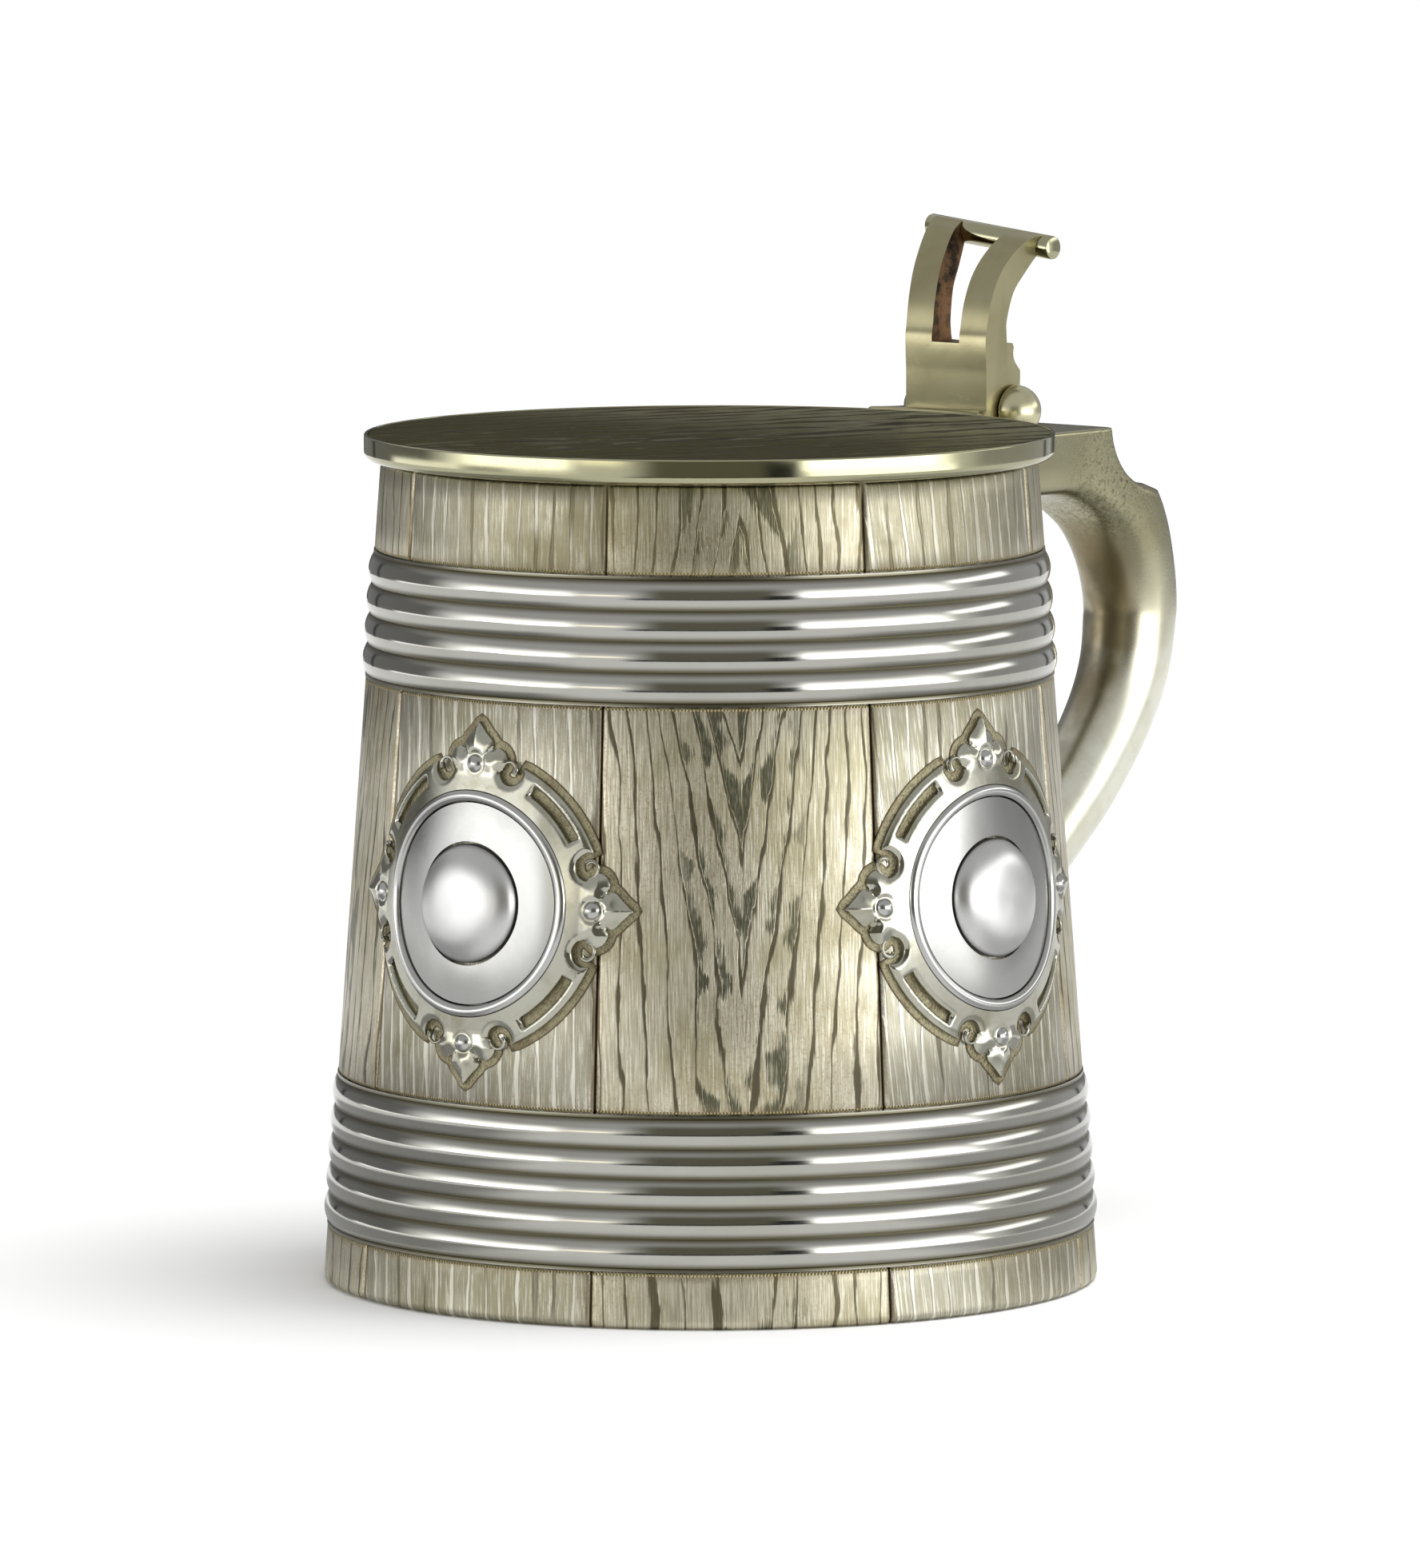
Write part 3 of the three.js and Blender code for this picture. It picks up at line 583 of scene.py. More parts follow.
def build_tarnish():
    """Clean metal that turns to a warmer, duller stain in soft patches."""
    w, given, result = new_group(
        "tarnish",
        [
            ("Clean", "color", rgb(0.7, 0.7, 0.7)), ("Stain", "color", rgb(0.4, 0.35, 0.25)),
            ("Patch Size", "value", 12.0), ("Amount", "value", 0.5), ("Speckle", "value", 0.2),
        ],
        [("Color", "color"), ("Mask", "value")],
    )
    place = w.place()
    scale = w.over(1 / MM, given["Patch Size"])
    cloud = w.noise(place, scale, 4.0, 0.62, 0.4)
    speck = w.noise(place, w.times(scale, 9.0), 2.0, 0.7)
    mask = w.times(w.steps(cloud, 0.42, 0.68), given["Amount"])
    mask = w.plus(mask, w.times(w.steps(speck, 0.6, 0.75), given["Speckle"]), clamp=True)
    w.give(result["Color"], w.mix(mask, given["Clean"], given["Stain"]))
    w.give(result["Mask"], mask)
    return w.tree


def build_hand_polish():
    """Fine scratches and soft unevenness of metal that is polished by hand."""
    w, given, result = new_group(
        "hand_polish",
        [("Roughness", "value", 0.2), ("Spread", "value", 0.06), ("Scratch Size", "value", 3.0)],
        [("Roughness", "value"), ("Height", "value")],
    )
    place = w.place()
    scale = w.over(1 / MM, given["Scratch Size"])
    lengthwise = {"Vector": place, "Scale": (1.0, 1.0, 6.0), "Rotation": (0.3, 0.2, 0.1)}
    stretched = w.add("ShaderNodeMapping", lengthwise).outputs[0]
    scratch = w.noise(stretched, w.times(scale, 4.0), 4.0, 0.7)
    soft = w.noise(place, w.times(scale, 0.2), 2.0)
    change = w.times(w.minus(scratch, 0.5), given["Spread"])
    change = w.plus(change, w.times(w.minus(soft, 0.5), given["Spread"]))
    w.give(result["Roughness"], w.plus(given["Roughness"], w.times(change, 2.0), clamp=True))
    w.give(result["Height"], scratch)
    return w.tree


unrolled_wall = build_unrolled_wall()
wood_grain = build_wood_grain()
tarnish = build_tarnish()
hand_polish = build_hand_polish()


def bare_material(name):
    """A material with no nodes yet."""
    material = bpy.data.materials.new(name)
    material.use_nodes = True
    material.node_tree.nodes.clear()
    return material, Wiring(material.node_tree)


def new_material(name):
    """A metal with its Principled shader, ready for its colour, roughness and relief."""
    material, w = bare_material(name)
    shader = w.add("ShaderNodeBsdfPrincipled", {"Metallic": 1.0})
    w.add("ShaderNodeOutputMaterial", {"Surface": shader.outputs[0]})
    return material, w, shader


def group_node(w, tree, inputs=None):
    return w.add("ShaderNodeGroup", inputs, node_tree=tree).outputs


def tarnished(w, clean, stain, patch_size, amount, speckle):
    """The colour of a metal that is stained in patches, each patch_size millimetres wide."""
    inputs = {
        "Clean": clean, "Stain": stain,
        "Patch Size": patch_size, "Amount": amount, "Speckle": speckle,
    }
    return group_node(w, tarnish, inputs)


def polished(w, roughness, spread):
    """The roughness and scratches of a metal polished by hand."""
    return group_node(w, hand_polish, {"Roughness": roughness, "Spread": spread})


def worn_metal(name, clean, stain, roughness, spread, patch_size, amount, speckle, scratch_depth):
    """Plain metal with tarnish and hand-polish marks."""
    material, w, shader = new_material(name)
    colour = tarnished(w, rgb(*clean), rgb(*stain), patch_size, amount, speckle)
    polish = polished(w, roughness, spread)
    w.give(shader.inputs["Base Color"], colour["Color"])
    w.give(shader.inputs["Roughness"], polish["Roughness"])
    w.give(shader.inputs["Normal"], w.relief(polish["Height"], scratch_depth))
    return material


def build_stave_material():
    """Satin silver chased with the grain of eight staves."""
    material, w, shader = new_material("chased_staves")
    wall = group_node(w, unrolled_wall)
    # every other stave is cut near the heart of the log and shows arches, the rest run straight
    arched = w.math("MODULO", wall["Stave"], 2.0)
    straight = w.minus(1.0, arched)
    lean = w.times(w.times(straight, 0.05), wall["Up"])
    grain = group_node(
        w, wood_grain,
        {
            "Across": w.plus(wall["Across"], lean),
            "Up": wall["Up"],
            "Axis": w.times(straight, 70.0),
            "Ring Spacing": w.plus(2.5, w.times(straight, 0.7)),
            "Line Share": w.plus(0.11, w.times(straight, 0.03)),
            "Waver": w.minus(1.0, w.times(straight, 0.3)),
            "Seed": wall["Stave"],
        },
    )
    clean = w.mix(straight, rgb(0.69, 0.65, 0.52), rgb(0.44, 0.43, 0.36))
    stained = w.mix(straight, rgb(0.43, 0.395, 0.25), rgb(0.26, 0.25, 0.17))
    surface = tarnished(w, clean, stained, 24.0, 0.8, 0.2)
    place = w.place()
    grit = w.noise(place, 1 / (0.5 * MM), 3.0, 0.7)
    warm = w.noise(place, 1 / (30 * MM), 2.0)
    fibre = w.steps(grain["Fibre"], 0.3, 0.7)
    colour = w.mix(w.times(fibre, 0.62), surface["Color"], rgb(0.25, 0.225, 0.14))
    colour = w.mix(w.steps(grain["Fibre"], 0.5, 0.32, 0.0, 0.6), colour, rgb(0.8, 0.78, 0.67))
    # brown specks of old patina gather in some places
    specks = w.times(w.steps(grit, 0.5, 0.68), w.steps(warm, 0.45, 0.62, 0.1, 0.6))
    colour = w.mix(specks, colour, rgb(0.34, 0.255, 0.165))
    colour = w.mix(w.times(grain["Flame"], 0.9), colour, rgb(0.062, 0.066, 0.04))
    # painted highlight: on the straight staves some cuts are painted pale, as if they caught the light, and
    # the rest stay dark
    painted_glint = w.times(straight, w.steps(grain["Ring Tone"], 0.4, 0.47))
    line = w.mix(painted_glint, rgb(0.07, 0.06, 0.034), rgb(0.82, 0.8, 0.7))
    colour = w.mix(w.times(grain["Groove"], w.plus(0.65, w.times(arched, 0.25))), colour, line)
    # dirt gathers along the joints and the hoops
    to_joint = wall["Joint Distance"]
    from_hoop = wall["Hoop Distance"]
    dirt = w.math("MAXIMUM", w.steps(to_joint, 0.2, 1.3, 0.6, 0.0), w.steps(from_hoop, 0.2, 1.8, 0.5, 0.0))
    dirt = w.times(dirt, w.steps(grit, 0.38, 0.62, 0.3, 1.0))
    colour = w.mix(dirt, colour, rgb(0.24, 0.175, 0.1))
    # a milled line follows each hoop, and a dark cut each joint
    ticks = w.math("SINE", w.times(wall["Across"], TURN / MILLED_PITCH))
    milled = w.times(w.steps(w.size(w.minus(from_hoop, MILLED_PLACE)), 0.12, 0.26, 1.0, 0.0), 0.9)
    milled_colour = w.mix(w.steps(ticks, -0.3, 0.3), rgb(0.13, 0.105, 0.045), rgb(0.45, 0.4, 0.22))
    colour = w.mix(milled, colour, milled_colour)
    colour = w.mix(w.steps(to_joint, 0.12, 0.3, 1.0, 0.0), colour, rgb(0.03, 0.02, 0.01))
    # the top band and the foot are painted browner and darker, in patches
    collar = w.steps(wall["Up"], 117.0, 119.0, 0.0, 0.8)
    foot = w.steps(wall["Up"], 8.0, 10.0, 0.35, 0.0)
    brown_share = w.times(w.plus(collar, foot), w.steps(warm, 0.3, 0.6, 0.25, 0.55))
    colour = w.mix(brown_share, colour, rgb(0.2, 0.175, 0.09))
    # the relief: fibres stand up, lines and flames are cut in, and the milled line is ribbed
    line_depth = w.times(grain["Groove"], w.plus(0.15, w.times(straight, 0.4)))
    height = w.minus(w.times(fibre, 0.14), line_depth)
    height = w.minus(height, w.times(grain["Flame"], 0.12))
    height = w.plus(height, w.times(milled, w.times(ticks, 0.35)))
    w.give(shader.inputs["Base Color"], colour)
    w.give(shader.inputs["Roughness"], w.plus(0.36, w.times(surface["Mask"], 0.12)))
    w.give(shader.inputs["Normal"], w.relief(height, 0.16))
    return material


def build_lid_material():
    """The lid's top: one plank whose grain runs across the cup."""
    material, w, shader = new_material("chased_lid")
    place = w.place()
    turn = {"Vector": place, "Angle": math.radians(LID_GRAIN_ANGLE)}
    parts = w.parts(w.add("ShaderNodeVectorRotate", turn, rotation_type="Z_AXIS").outputs[0])
    grain = group_node(
        w, wood_grain,
        {
            "Across": w.over(parts["Y"], MM),
            "Up": w.over(parts["X"], MM),
            "Axis": -4.0,
            "Middle": -45.0,
            "Ring Spacing": 5.4,
            "Line Share": 0.26,
            "Waver": 1.4,
            "Seed": 11.0,
        },
    )
    surface = tarnished(w, rgb(0.3, 0.293, 0.21), rgb(0.18, 0.168, 0.115), 20.0, 0.7, 0.3)
    fibre = w.steps(grain["Fibre"], 0.3, 0.7)
    colour = w.mix(w.times(fibre, 0.4), surface["Color"], rgb(0.14, 0.13, 0.085))
    colour = w.mix(w.times(grain["Flame"], 0.8), colour, rgb(0.04, 0.038, 0.025))
    colour = w.mix(w.times(grain["Groove"], 0.92), colour, rgb(0.025, 0.023, 0.015))
    # the strokes hold a dull black, and the metal is worn dull in fibres towards the hinge
    strokes = w.math("MAXIMUM", w.times(grain["Groove"], 0.95), w.times(grain["Flame"], 0.8))
    worn = w.times(w.steps(w.parts(place)["X"], -0.01, 0.045), w.steps(grain["Fibre"], 0.4, 0.55))
    metallic = w.times(w.minus(1.0, strokes), w.minus(1.0, w.times(worn, 0.5)))
    height = w.minus(w.times(fibre, 0.12), w.times(grain["Groove"], 0.8))
    w.give(shader.inputs["Base Color"], colour)
    w.give(shader.inputs["Metallic"], metallic)
    w.give(shader.inputs["Roughness"], w.plus(0.3, w.times(surface["Mask"], 0.15)))
    w.give(shader.inputs["IOR"], 1.01)
    w.give(shader.inputs["Specular Tint"], rgb(0.2, 0.195, 0.15))
    w.give(shader.inputs["Normal"], w.relief(height, 0.12))
    return material


def build_matted_material():
    """The punched ground round the strapwork: tan and covered in tiny pits."""
    material, w, shader = new_material("matted_ground")
    punched = {"Vector": w.place(), "Scale": 1 / (PIT_SIZE * MM)}
    pits = w.add("ShaderNodeTexVoronoi", punched).outputs["Distance"]
    surface = tarnished(w, rgb(0.3, 0.275, 0.175), rgb(0.17, 0.14, 0.085), 5.0, 0.8, 0.4)
    colour = w.mix(w.steps(pits, 0.0, 0.4, 0.8, 0.0), surface["Color"], rgb(0.07, 0.055, 0.03))
    # a dark line follows its outline
    colour = w.mix(w.steps(w.marks(), 0.2, 0.8, 0.0, 0.85), colour, rgb(0.09, 0.065, 0.035))
    w.give(shader.inputs["Base Color"], colour)
    w.give(shader.inputs["Roughness"], 0.5)
    w.give(shader.inputs["Normal"], w.relief(pits, 0.1))
    return material


def spun_silver(name, axis, clean, stain, roughness):
    """Silver brushed in rings about one axis."""
    material, w, shader = new_material(name)
    colour = tarnished(w, rgb(*clean), rgb(*stain), 10.0, 0.35, 0.06)
    polish = polished(w, roughness, 0.05)
    tangent = w.add("ShaderNodeTangent", direction_type="RADIAL", axis=axis)
    w.give(shader.inputs["Base Color"], colour["Color"])
    w.give(shader.inputs["Roughness"], polish["Roughness"])
    w.give(shader.inputs["Normal"], w.relief(polish["Height"], 0.003))
    w.give(shader.inputs["Tangent"], tangent.outputs[0])
    w.give(shader.inputs["Anisotropic"], 0.25)
    return material


def build_reed_material():
    """Polished silver, browner and darker down in the grooves between the reeds: tarnish with painted
    shade.
    """
    material, w, shader = new_material("reed_silver")
    colour = tarnished(w, rgb(0.44, 0.436, 0.402), rgb(0.35, 0.343, 0.285), 25.0, 0.4, 0.1)
    polish = polished(w, 0.1, 0.02)
    # tarnish and painted shade: darker and browner towards the bottom of each groove
    groove = w.steps(w.marks(), 0.0, 1.0)
    w.give(shader.inputs["Base Color"], w.mix(groove, colour["Color"], rgb(0.11, 0.1, 0.06)))
    w.give(shader.inputs["Roughness"], w.plus(polish["Roughness"], w.times(groove, 0.25)))
    return material


def build_handle_material():
    """Satin gilt, painted pale on the tube as a highlight, with a painted brown reflection of the cup on
    the side turned to it and pits round the bracket's cove.
    """
    material, w, shader = new_material("handle_gilt")
    coordinates = w.add("ShaderNodeTexCoord").outputs
    place = coordinates["Object"]
    parts = w.parts(place)
    # painted highlight: the tube is painted pale for the sheen along it, and the bracket keeps its gilding
    bracket = w.steps(parts["Z"], 0.086, 0.116)
    clean = w.mix(bracket, rgb(0.78, 0.775, 0.67), rgb(0.33, 0.315, 0.205))
    stained = w.mix(bracket, rgb(0.55, 0.53, 0.38), rgb(0.25, 0.22, 0.125))
    colour = tarnished(w, clean, stained, 18.0, 0.5, 0.2)
    # painted reflection: the side turned to the cup is painted brown, as the cup's wall mirrored in it
    cupwards = w.steps(w.parts(coordinates["Normal"])["X"], -0.92, -0.5, 1.0, 0.0)
    cloud = w.noise(place, 1 / (9 * MM), 3.0, 0.6)
    brown_share = w.times(cupwards, w.steps(cloud, 0.3, 0.6, 0.55, 1.0))
    metal = w.mix(w.times(brown_share, 0.85), colour["Color"], rgb(0.2, 0.15, 0.075))
    # pits gather round the cove
    grit = w.noise(place, 1 / (0.9 * MM), 4.0, 0.75)
    cove = w.point(BRACKET_REACH * MM, 0.0, (BRACKET_TOP - COVE_DEPTH) * MM)
    level = w.point(parts["X"], 0.0, parts["Z"])
    distance = w.add("ShaderNodeVectorMath", {0: level, 1: cove}, operation="DISTANCE").outputs["Value"]
    pitted = w.times(w.steps(distance, 4 * MM, 16 * MM, 0.8, 0.0), w.steps(grit, 0.46, 0.62))
    metal = w.mix(pitted, metal, rgb(0.17, 0.15, 0.085))
    polish = polished(w, 0.25, 0.06)
    height = w.minus(w.times(polish["Height"], 0.1), pitted)
    w.give(shader.inputs["Base Color"], metal)
    w.give(shader.inputs["Roughness"], w.plus(polish["Roughness"], w.times(brown_share, 0.1)))
    w.give(shader.inputs["Normal"], w.relief(height, 0.03))
    return material


staves_metal = build_stave_material()
lid_metal = build_lid_material()
matted = build_matted_material()
reed_silver = build_reed_material()
handle_gilt = build_handle_material()
# Plain metals, in the order of worn_metal's own list of values
satin_silver = worn_metal(
    "satin_silver", (0.46, 0.46, 0.445), (0.35, 0.345, 0.32), 0.18, 0.05, 12.0, 0.45, 0.15, 0.002
)
strapwork_metal = worn_metal(
    "strapwork_silver", (0.44, 0.435, 0.37), (0.28, 0.265, 0.185), 0.15, 0.05, 8.0, 0.7, 0.2, 0.002
)
satin_gilt = worn_metal(
    "satin_gilt", (0.35, 0.325, 0.195), (0.25, 0.22, 0.12), 0.24, 0.06, 18.0, 0.5, 0.2, 0.002
)
polished_gilt = worn_metal(
    "polished_gilt", (0.39, 0.38, 0.25), (0.3, 0.28, 0.15), 0.1, 0.03, 20.0, 0.4, 0.15, 0.001
)
cap_gilt = worn_metal(
    "cap_gilt", (0.56, 0.53, 0.35), (0.42, 0.38, 0.23), 0.27, 0.05, 5.0, 0.5, 0.25, 0.002
)
# painted shade, nearly black, for the walls and floor of the slot in the thumbpiece
slot_shade = worn_metal(
    "slot_shade", (0.19, 0.105, 0.05), (0.014, 0.011, 0.007), 0.5, 0.1, 3.4, 1.0, 0.8, 0.03
)
inside_gilt = worn_metal(
    "inside_gilt", (0.78, 0.71, 0.5), (0.62, 0.54, 0.34), 0.36, 0.06, 22.0, 0.4, 0.1, 0.004
)
dish_silver = {}
dome_silver = {}
for axis in "XY":
    dish_name, dome_name = f"dish_silver_{axis}", f"dome_silver_{axis}"
    dish_silver[axis] = spun_silver(dish_name, axis, (0.34, 0.34, 0.33), (0.27, 0.267, 0.25), 0.19)
    dome_silver[axis] = spun_silver(dome_name, axis, (0.58, 0.58, 0.575), (0.5, 0.495, 0.48), 0.34)


# Cup

def build_cup_wall():
    """The outer skin as eight slightly crowned staves with rounded joints, and the plain inside."""
    offsets = []
    for stave in range(STAVES):
        for i in range(STAVE_COLUMNS):
            # columns crowd together towards the joints
            t = 2 * i / STAVE_COLUMNS - 1
            warped = math.copysign(1 - (1 - abs(t)) ** 1.6, t)
            offsets.append(((stave + warped / 2) / STAVES, 1 - abs(warped)))
    rows = []

    def row(height, inset, joint_share):
        radius = wall_radius(height) - inset
        half = radius * TURN / STAVES / 2
        points = []
        for turns, to_joint in offsets:
            distance = to_joint * half
            groove = JOINT_DEPTH * math.exp(-((distance / (JOINT_WIDTH / 2)) ** 2))
            crown = STAVE_CROWN * math.exp(-distance / 2.0)
            r = radius - joint_share * (groove + crown)
            points.append((r * math.cos(TURN * turns), r * math.sin(TURN * turns), height))
        rows.append(points)

    row(0, WALL, 0)
    for inset, rise in arc(FOOT_ROUNDING, FOOT_ROUNDING, FOOT_ROUNDING, 0.75, 0.5, 6):
        row(rise, inset, 1)
    start = FOOT_ROUNDING
    for bottom, height, _ in HOOPS.values():
        for z in np.linspace(start + SEAT_LIP, bottom - SEAT_LIP, 6):
            row(z, 0, 1)
        row(bottom, SEAT_LIP * 0.6, 1)
        row(bottom, HOOP_SEAT, 0)
        row(bottom + height, HOOP_SEAT, 0)
        row(bottom + height, SEAT_LIP * 0.6, 1)
        start = bottom + height
    for z in np.linspace(start + MOUTH_LIP, CUP_HEIGHT - MOUTH_LIP, 5):
        row(z, 0, 1)
    row(CUP_HEIGHT, MOUTH_LIP, 0)
    row(CUP_HEIGHT, WALL, 0)
    vertices = [p for points in rows for p in points]
    faces = rows_to_faces(len(rows), len(offsets), joined=True)
    piece = new_piece("cup_wall", vertices, faces, staves_metal, "cup", ["body_wall"], 50)

    def plain_side(middle, normal):
        mouth = abs(normal.z) > 0.7 and middle.z > CUP_HEIGHT - 0.1
        return mouth or math.hypot(middle.x, middle.y) < wall_radius(middle.z) - WALL + 0.3

    give_second_finish(piece, inside_gilt, plain_side)


def build_base_plate():
    """The round plate in the foot."""
    low = wall_radius(0) - WALL - FIT_GAP
    high = wall_radius(BASE_PLATE) - WALL - FIT_GAP
    corners = [(0, 0), (low, 0), (high, BASE_PLATE), (0, BASE_PLATE)]
    vertices, faces = lathe(rounded(corners, [0, 0.3, 0.2, 0]), 128)
    new_piece("base_disc", vertices, faces, inside_gilt, "cup", ["base_plate"])


def build_hoop(name, bottom, height, reeds):
    """Half-round reeds between two narrow milled edges."""
    low = bottom + FIT_GAP / 2
    high = bottom + height - FIT_GAP / 2
    reed = (high - low - 2 * HOOP_EDGE) / reeds
    half = reed / 2
    steps = 14
    profile = [(wall_radius(low) - HOOP_SEAT + FIT_GAP, low), (wall_radius(low) + EDGE_PROUD, low)]
    profile.append((wall_radius(low + HOOP_EDGE) + EDGE_PROUD, low + HOOP_EDGE - 0.05))
    # each reed is an arc that stands REED_PROUD off the wall, a little sunk where two meet
    radius = (half**2 + REED_PROUD**2) / (2 * REED_PROUD)
    reach = math.asin(half / radius)
    for i in range(reeds):
        middle = low + HOOP_EDGE + (i + 0.5) * reed
        for j in range(steps + 1):
            angle = reach * 0.985 * (2 * j / steps - 1)
            z = middle + radius * math.sin(angle)
            proud = REED_PROUD - radius * (1 - math.cos(angle))
            profile.append((wall_radius(z) + proud, z))
    profile.append((wall_radius(high - HOOP_EDGE) + EDGE_PROUD, high - HOOP_EDGE + 0.05))
    profile += [(wall_radius(high) + EDGE_PROUD, high), (wall_radius(high) - HOOP_SEAT + FIT_GAP, high)]
    vertices, faces = lathe(profile, 256)
    piece = new_piece(f"{name}_reeds", vertices, faces, reed_silver, "cup", [name], 40)
    # the marks carry the tarnish and painted shade in the grooves
    grooves = [low + HOOP_EDGE + i * reed for i in range(reeds + 1)]
    heights = [vertex.co.z / MM for vertex in piece.data.vertices]
    mark_points(piece, [max(0.0, 1 - min(abs(z - at) for at in grooves) / TARNISH_AND_SHADE_REACH) for z in heights])


# Strapwork bosses

def on_wall(u, v, off, turns):
    """Points on the wall from distances across and up from a boss's middle, and a height off it."""
    z = BOSS_HEIGHT + v
    radius = wall_radius(z)
    angle = TURN * turns + u / radius
    return np.stack([(radius + off) * np.cos(angle), (radius + off) * np.sin(angle), z], -1)


def strapwork_half():
    """Half of one fleur-de-lis with its hooked recess, from the band to the tip."""
    # where the hook's circle meets the edge of the band
    distance = np.hypot(*HOOK_MIDDLE)
    meeting = math.acos((distance**2 + HOOK_RADIUS**2 - BAND_RADIUS**2) / (2 * distance * HOOK_RADIUS))
    start = (math.atan2(-HOOK_MIDDLE[1], -HOOK_MIDDLE[0]) + meeting) / TURN
    hook = arc(*HOOK_MIDDLE, HOOK_RADIUS, start, -0.475, 22)
    lobe = smooth_curve(LOBE_POINTS, 6)
    petal = smooth_curve(PETAL_POINTS, 6)
    band_end = math.atan2(hook[0][1], hook[0][0]) / TURN
    band = arc(0, 0, BAND_RADIUS, 0.125, band_end, 14)[:-1]
    return np.concatenate([band, hook, lobe[1:-1], petal])


def spin(points, quarter):
    """One flat point or many, turned by a number of quarter turns."""
    angle = TURN * quarter / 4
    c, s = math.cos(angle), math.sin(angle)
    return points @ np.array([[c, s], [-s, c]])


def strapwork_outline():
    """The whole edge of the plate: four fleurs-de-lis and the band between them."""
    half = strapwork_half()
    mirrored = (half * [-1, 1])[::-1][1:-1]
    quarter = np.concatenate([half, mirrored])
    return np.concatenate([spin(quarter, q) for q in range(4)])


def slot_outlines():
    """The four arc-shaped slots in the band."""
    result = []
    for q in range(4):
        low = (q + 0.5) / 4 - SLOT_TURNS
        high = (q + 0.5) / 4 + SLOT_TURNS
        sides = [arc(0, 0, SLOT_OUTSIDE, low, high, 16), arc(0, 0, SLOT_INSIDE, high, low, 16)]
        result.append(np.concatenate(sides))
    return result


def distance_to(points, outline):
    """Distance from each point to a closed outline."""
    a = outline
    b = np.roll(outline, -1, 0)
    ab = b - a
    best = np.full(len(points), 1e9)
    for start, edge in zip(a, ab):
        t = np.clip(((points - start) @ edge) / max(edge @ edge, 1e-12), 0, 1)
        best = np.minimum(best, np.hypot(*(points - start - t[:, None] * edge).T))
    return best


def inside_of(points, outline):
    """Whether each point lies inside a closed outline."""
    inside = np.zeros(len(points), bool)
    x, y = points.T
    for (x1, y1), (x2, y2) in zip(outline, np.roll(outline, -1, 0)):
        crosses = (y1 > y) != (y2 > y)
        with np.errstate(divide="ignore", invalid="ignore"):
            at = (x2 - x1) * (y - y1) / (y2 - y1) + x1
        inside ^= crosses & (x < at)
    return inside


def offset_outline(outline, distance):
    """The outline moved outwards by a distance, or inwards if it is below zero."""
    ahead = np.roll(outline, -1, 0) - np.roll(outline, 1, 0)
    normal = np.stack([ahead[:, 1], -ahead[:, 0]], -1)
    normal /= np.maximum(np.hypot(*normal.T), 1e-9)[:, None]
    moved = outline + normal * distance
    return moved[distance_to(moved, outline) > abs(distance) - 0.03]


def sheet_between(outer, holes, extra, spacing):
    """A triangulated sheet inside one outline and outside the holes, with the extra lines' points in it."""
    low, high = outer.min(0), outer.max(0)
    columns = np.arange(low[0], high[0], spacing)
    lines = np.arange(low[1], high[1], spacing * 0.866)
    grid = np.array([(x + (k % 2) * spacing / 2, y) for k, y in enumerate(lines) for x in columns])
    keep = inside_of(grid, outer) & (distance_to(grid, outer) > spacing * 0.6)
    for hole in holes:
        keep &= ~inside_of(grid, hole) & (distance_to(grid, hole) > spacing * 0.6)
    for line in extra:
        keep &= distance_to(grid, line) > spacing * 0.45
    points, edges = [], []
    for line in [outer, *holes]:
        start, count = len(points), len(line)
        points += line.tolist()
        edges += [(start + i, start + (i + 1) % count) for i in range(count)]
    for line in [*extra, grid[keep]]:
        points += line.tolist()
    found = delaunay_2d_cdt([Vector(p) for p in points], edges, [], 0, 1e-5)
    flat = np.array([tuple(p) for p in found[0]])
    faces = np.array([f for f in found[2] if len(f) == 3])
    middle = flat[faces].mean(1)
    good = inside_of(middle, outer)
    for hole in holes:
        good &= ~inside_of(middle, hole)
    return flat, faces[good]


def rim_edges(faces):
    """The directed edges that belong to one face only."""
    count = {}
    for a, b, c in faces:
        for edge in ((a, b), (b, c), (c, a)):
            count[edge] = count.get(edge, 0) + 1
    return [edge for edge in count if (edge[1], edge[0]) not in count]


def raised_sheet(name, flat, faces, heights, floor, turns, material, replaces, sharp):
    """A sheet set on the wall at its heights, with a skirt down to the floor height."""
    top = on_wall(flat[:, 0], flat[:, 1], heights, turns)
    rim = rim_edges(faces)
    used = sorted({i for edge in rim for i in edge})
    place = {old: len(flat) + new for new, old in enumerate(used)}
    low = on_wall(flat[used, 0], flat[used, 1], np.full(len(used), floor), turns)
    skirt = [(b, a, place[a], place[b]) for a, b in rim]
    every_face = [tuple(f) for f in faces] + skirt
    points = np.concatenate([top, low])
    return new_piece(name, points, every_face, material, "cup", replaces, sharp)


def on_one_fleur(u, v, full):
    """1 on the fleur-de-lis that points up, growing from its root to a full height, and 0 beside it."""
    return smoothstep(20.0, full, v) * (1 - smoothstep(6.0, 7.0, abs(u)))


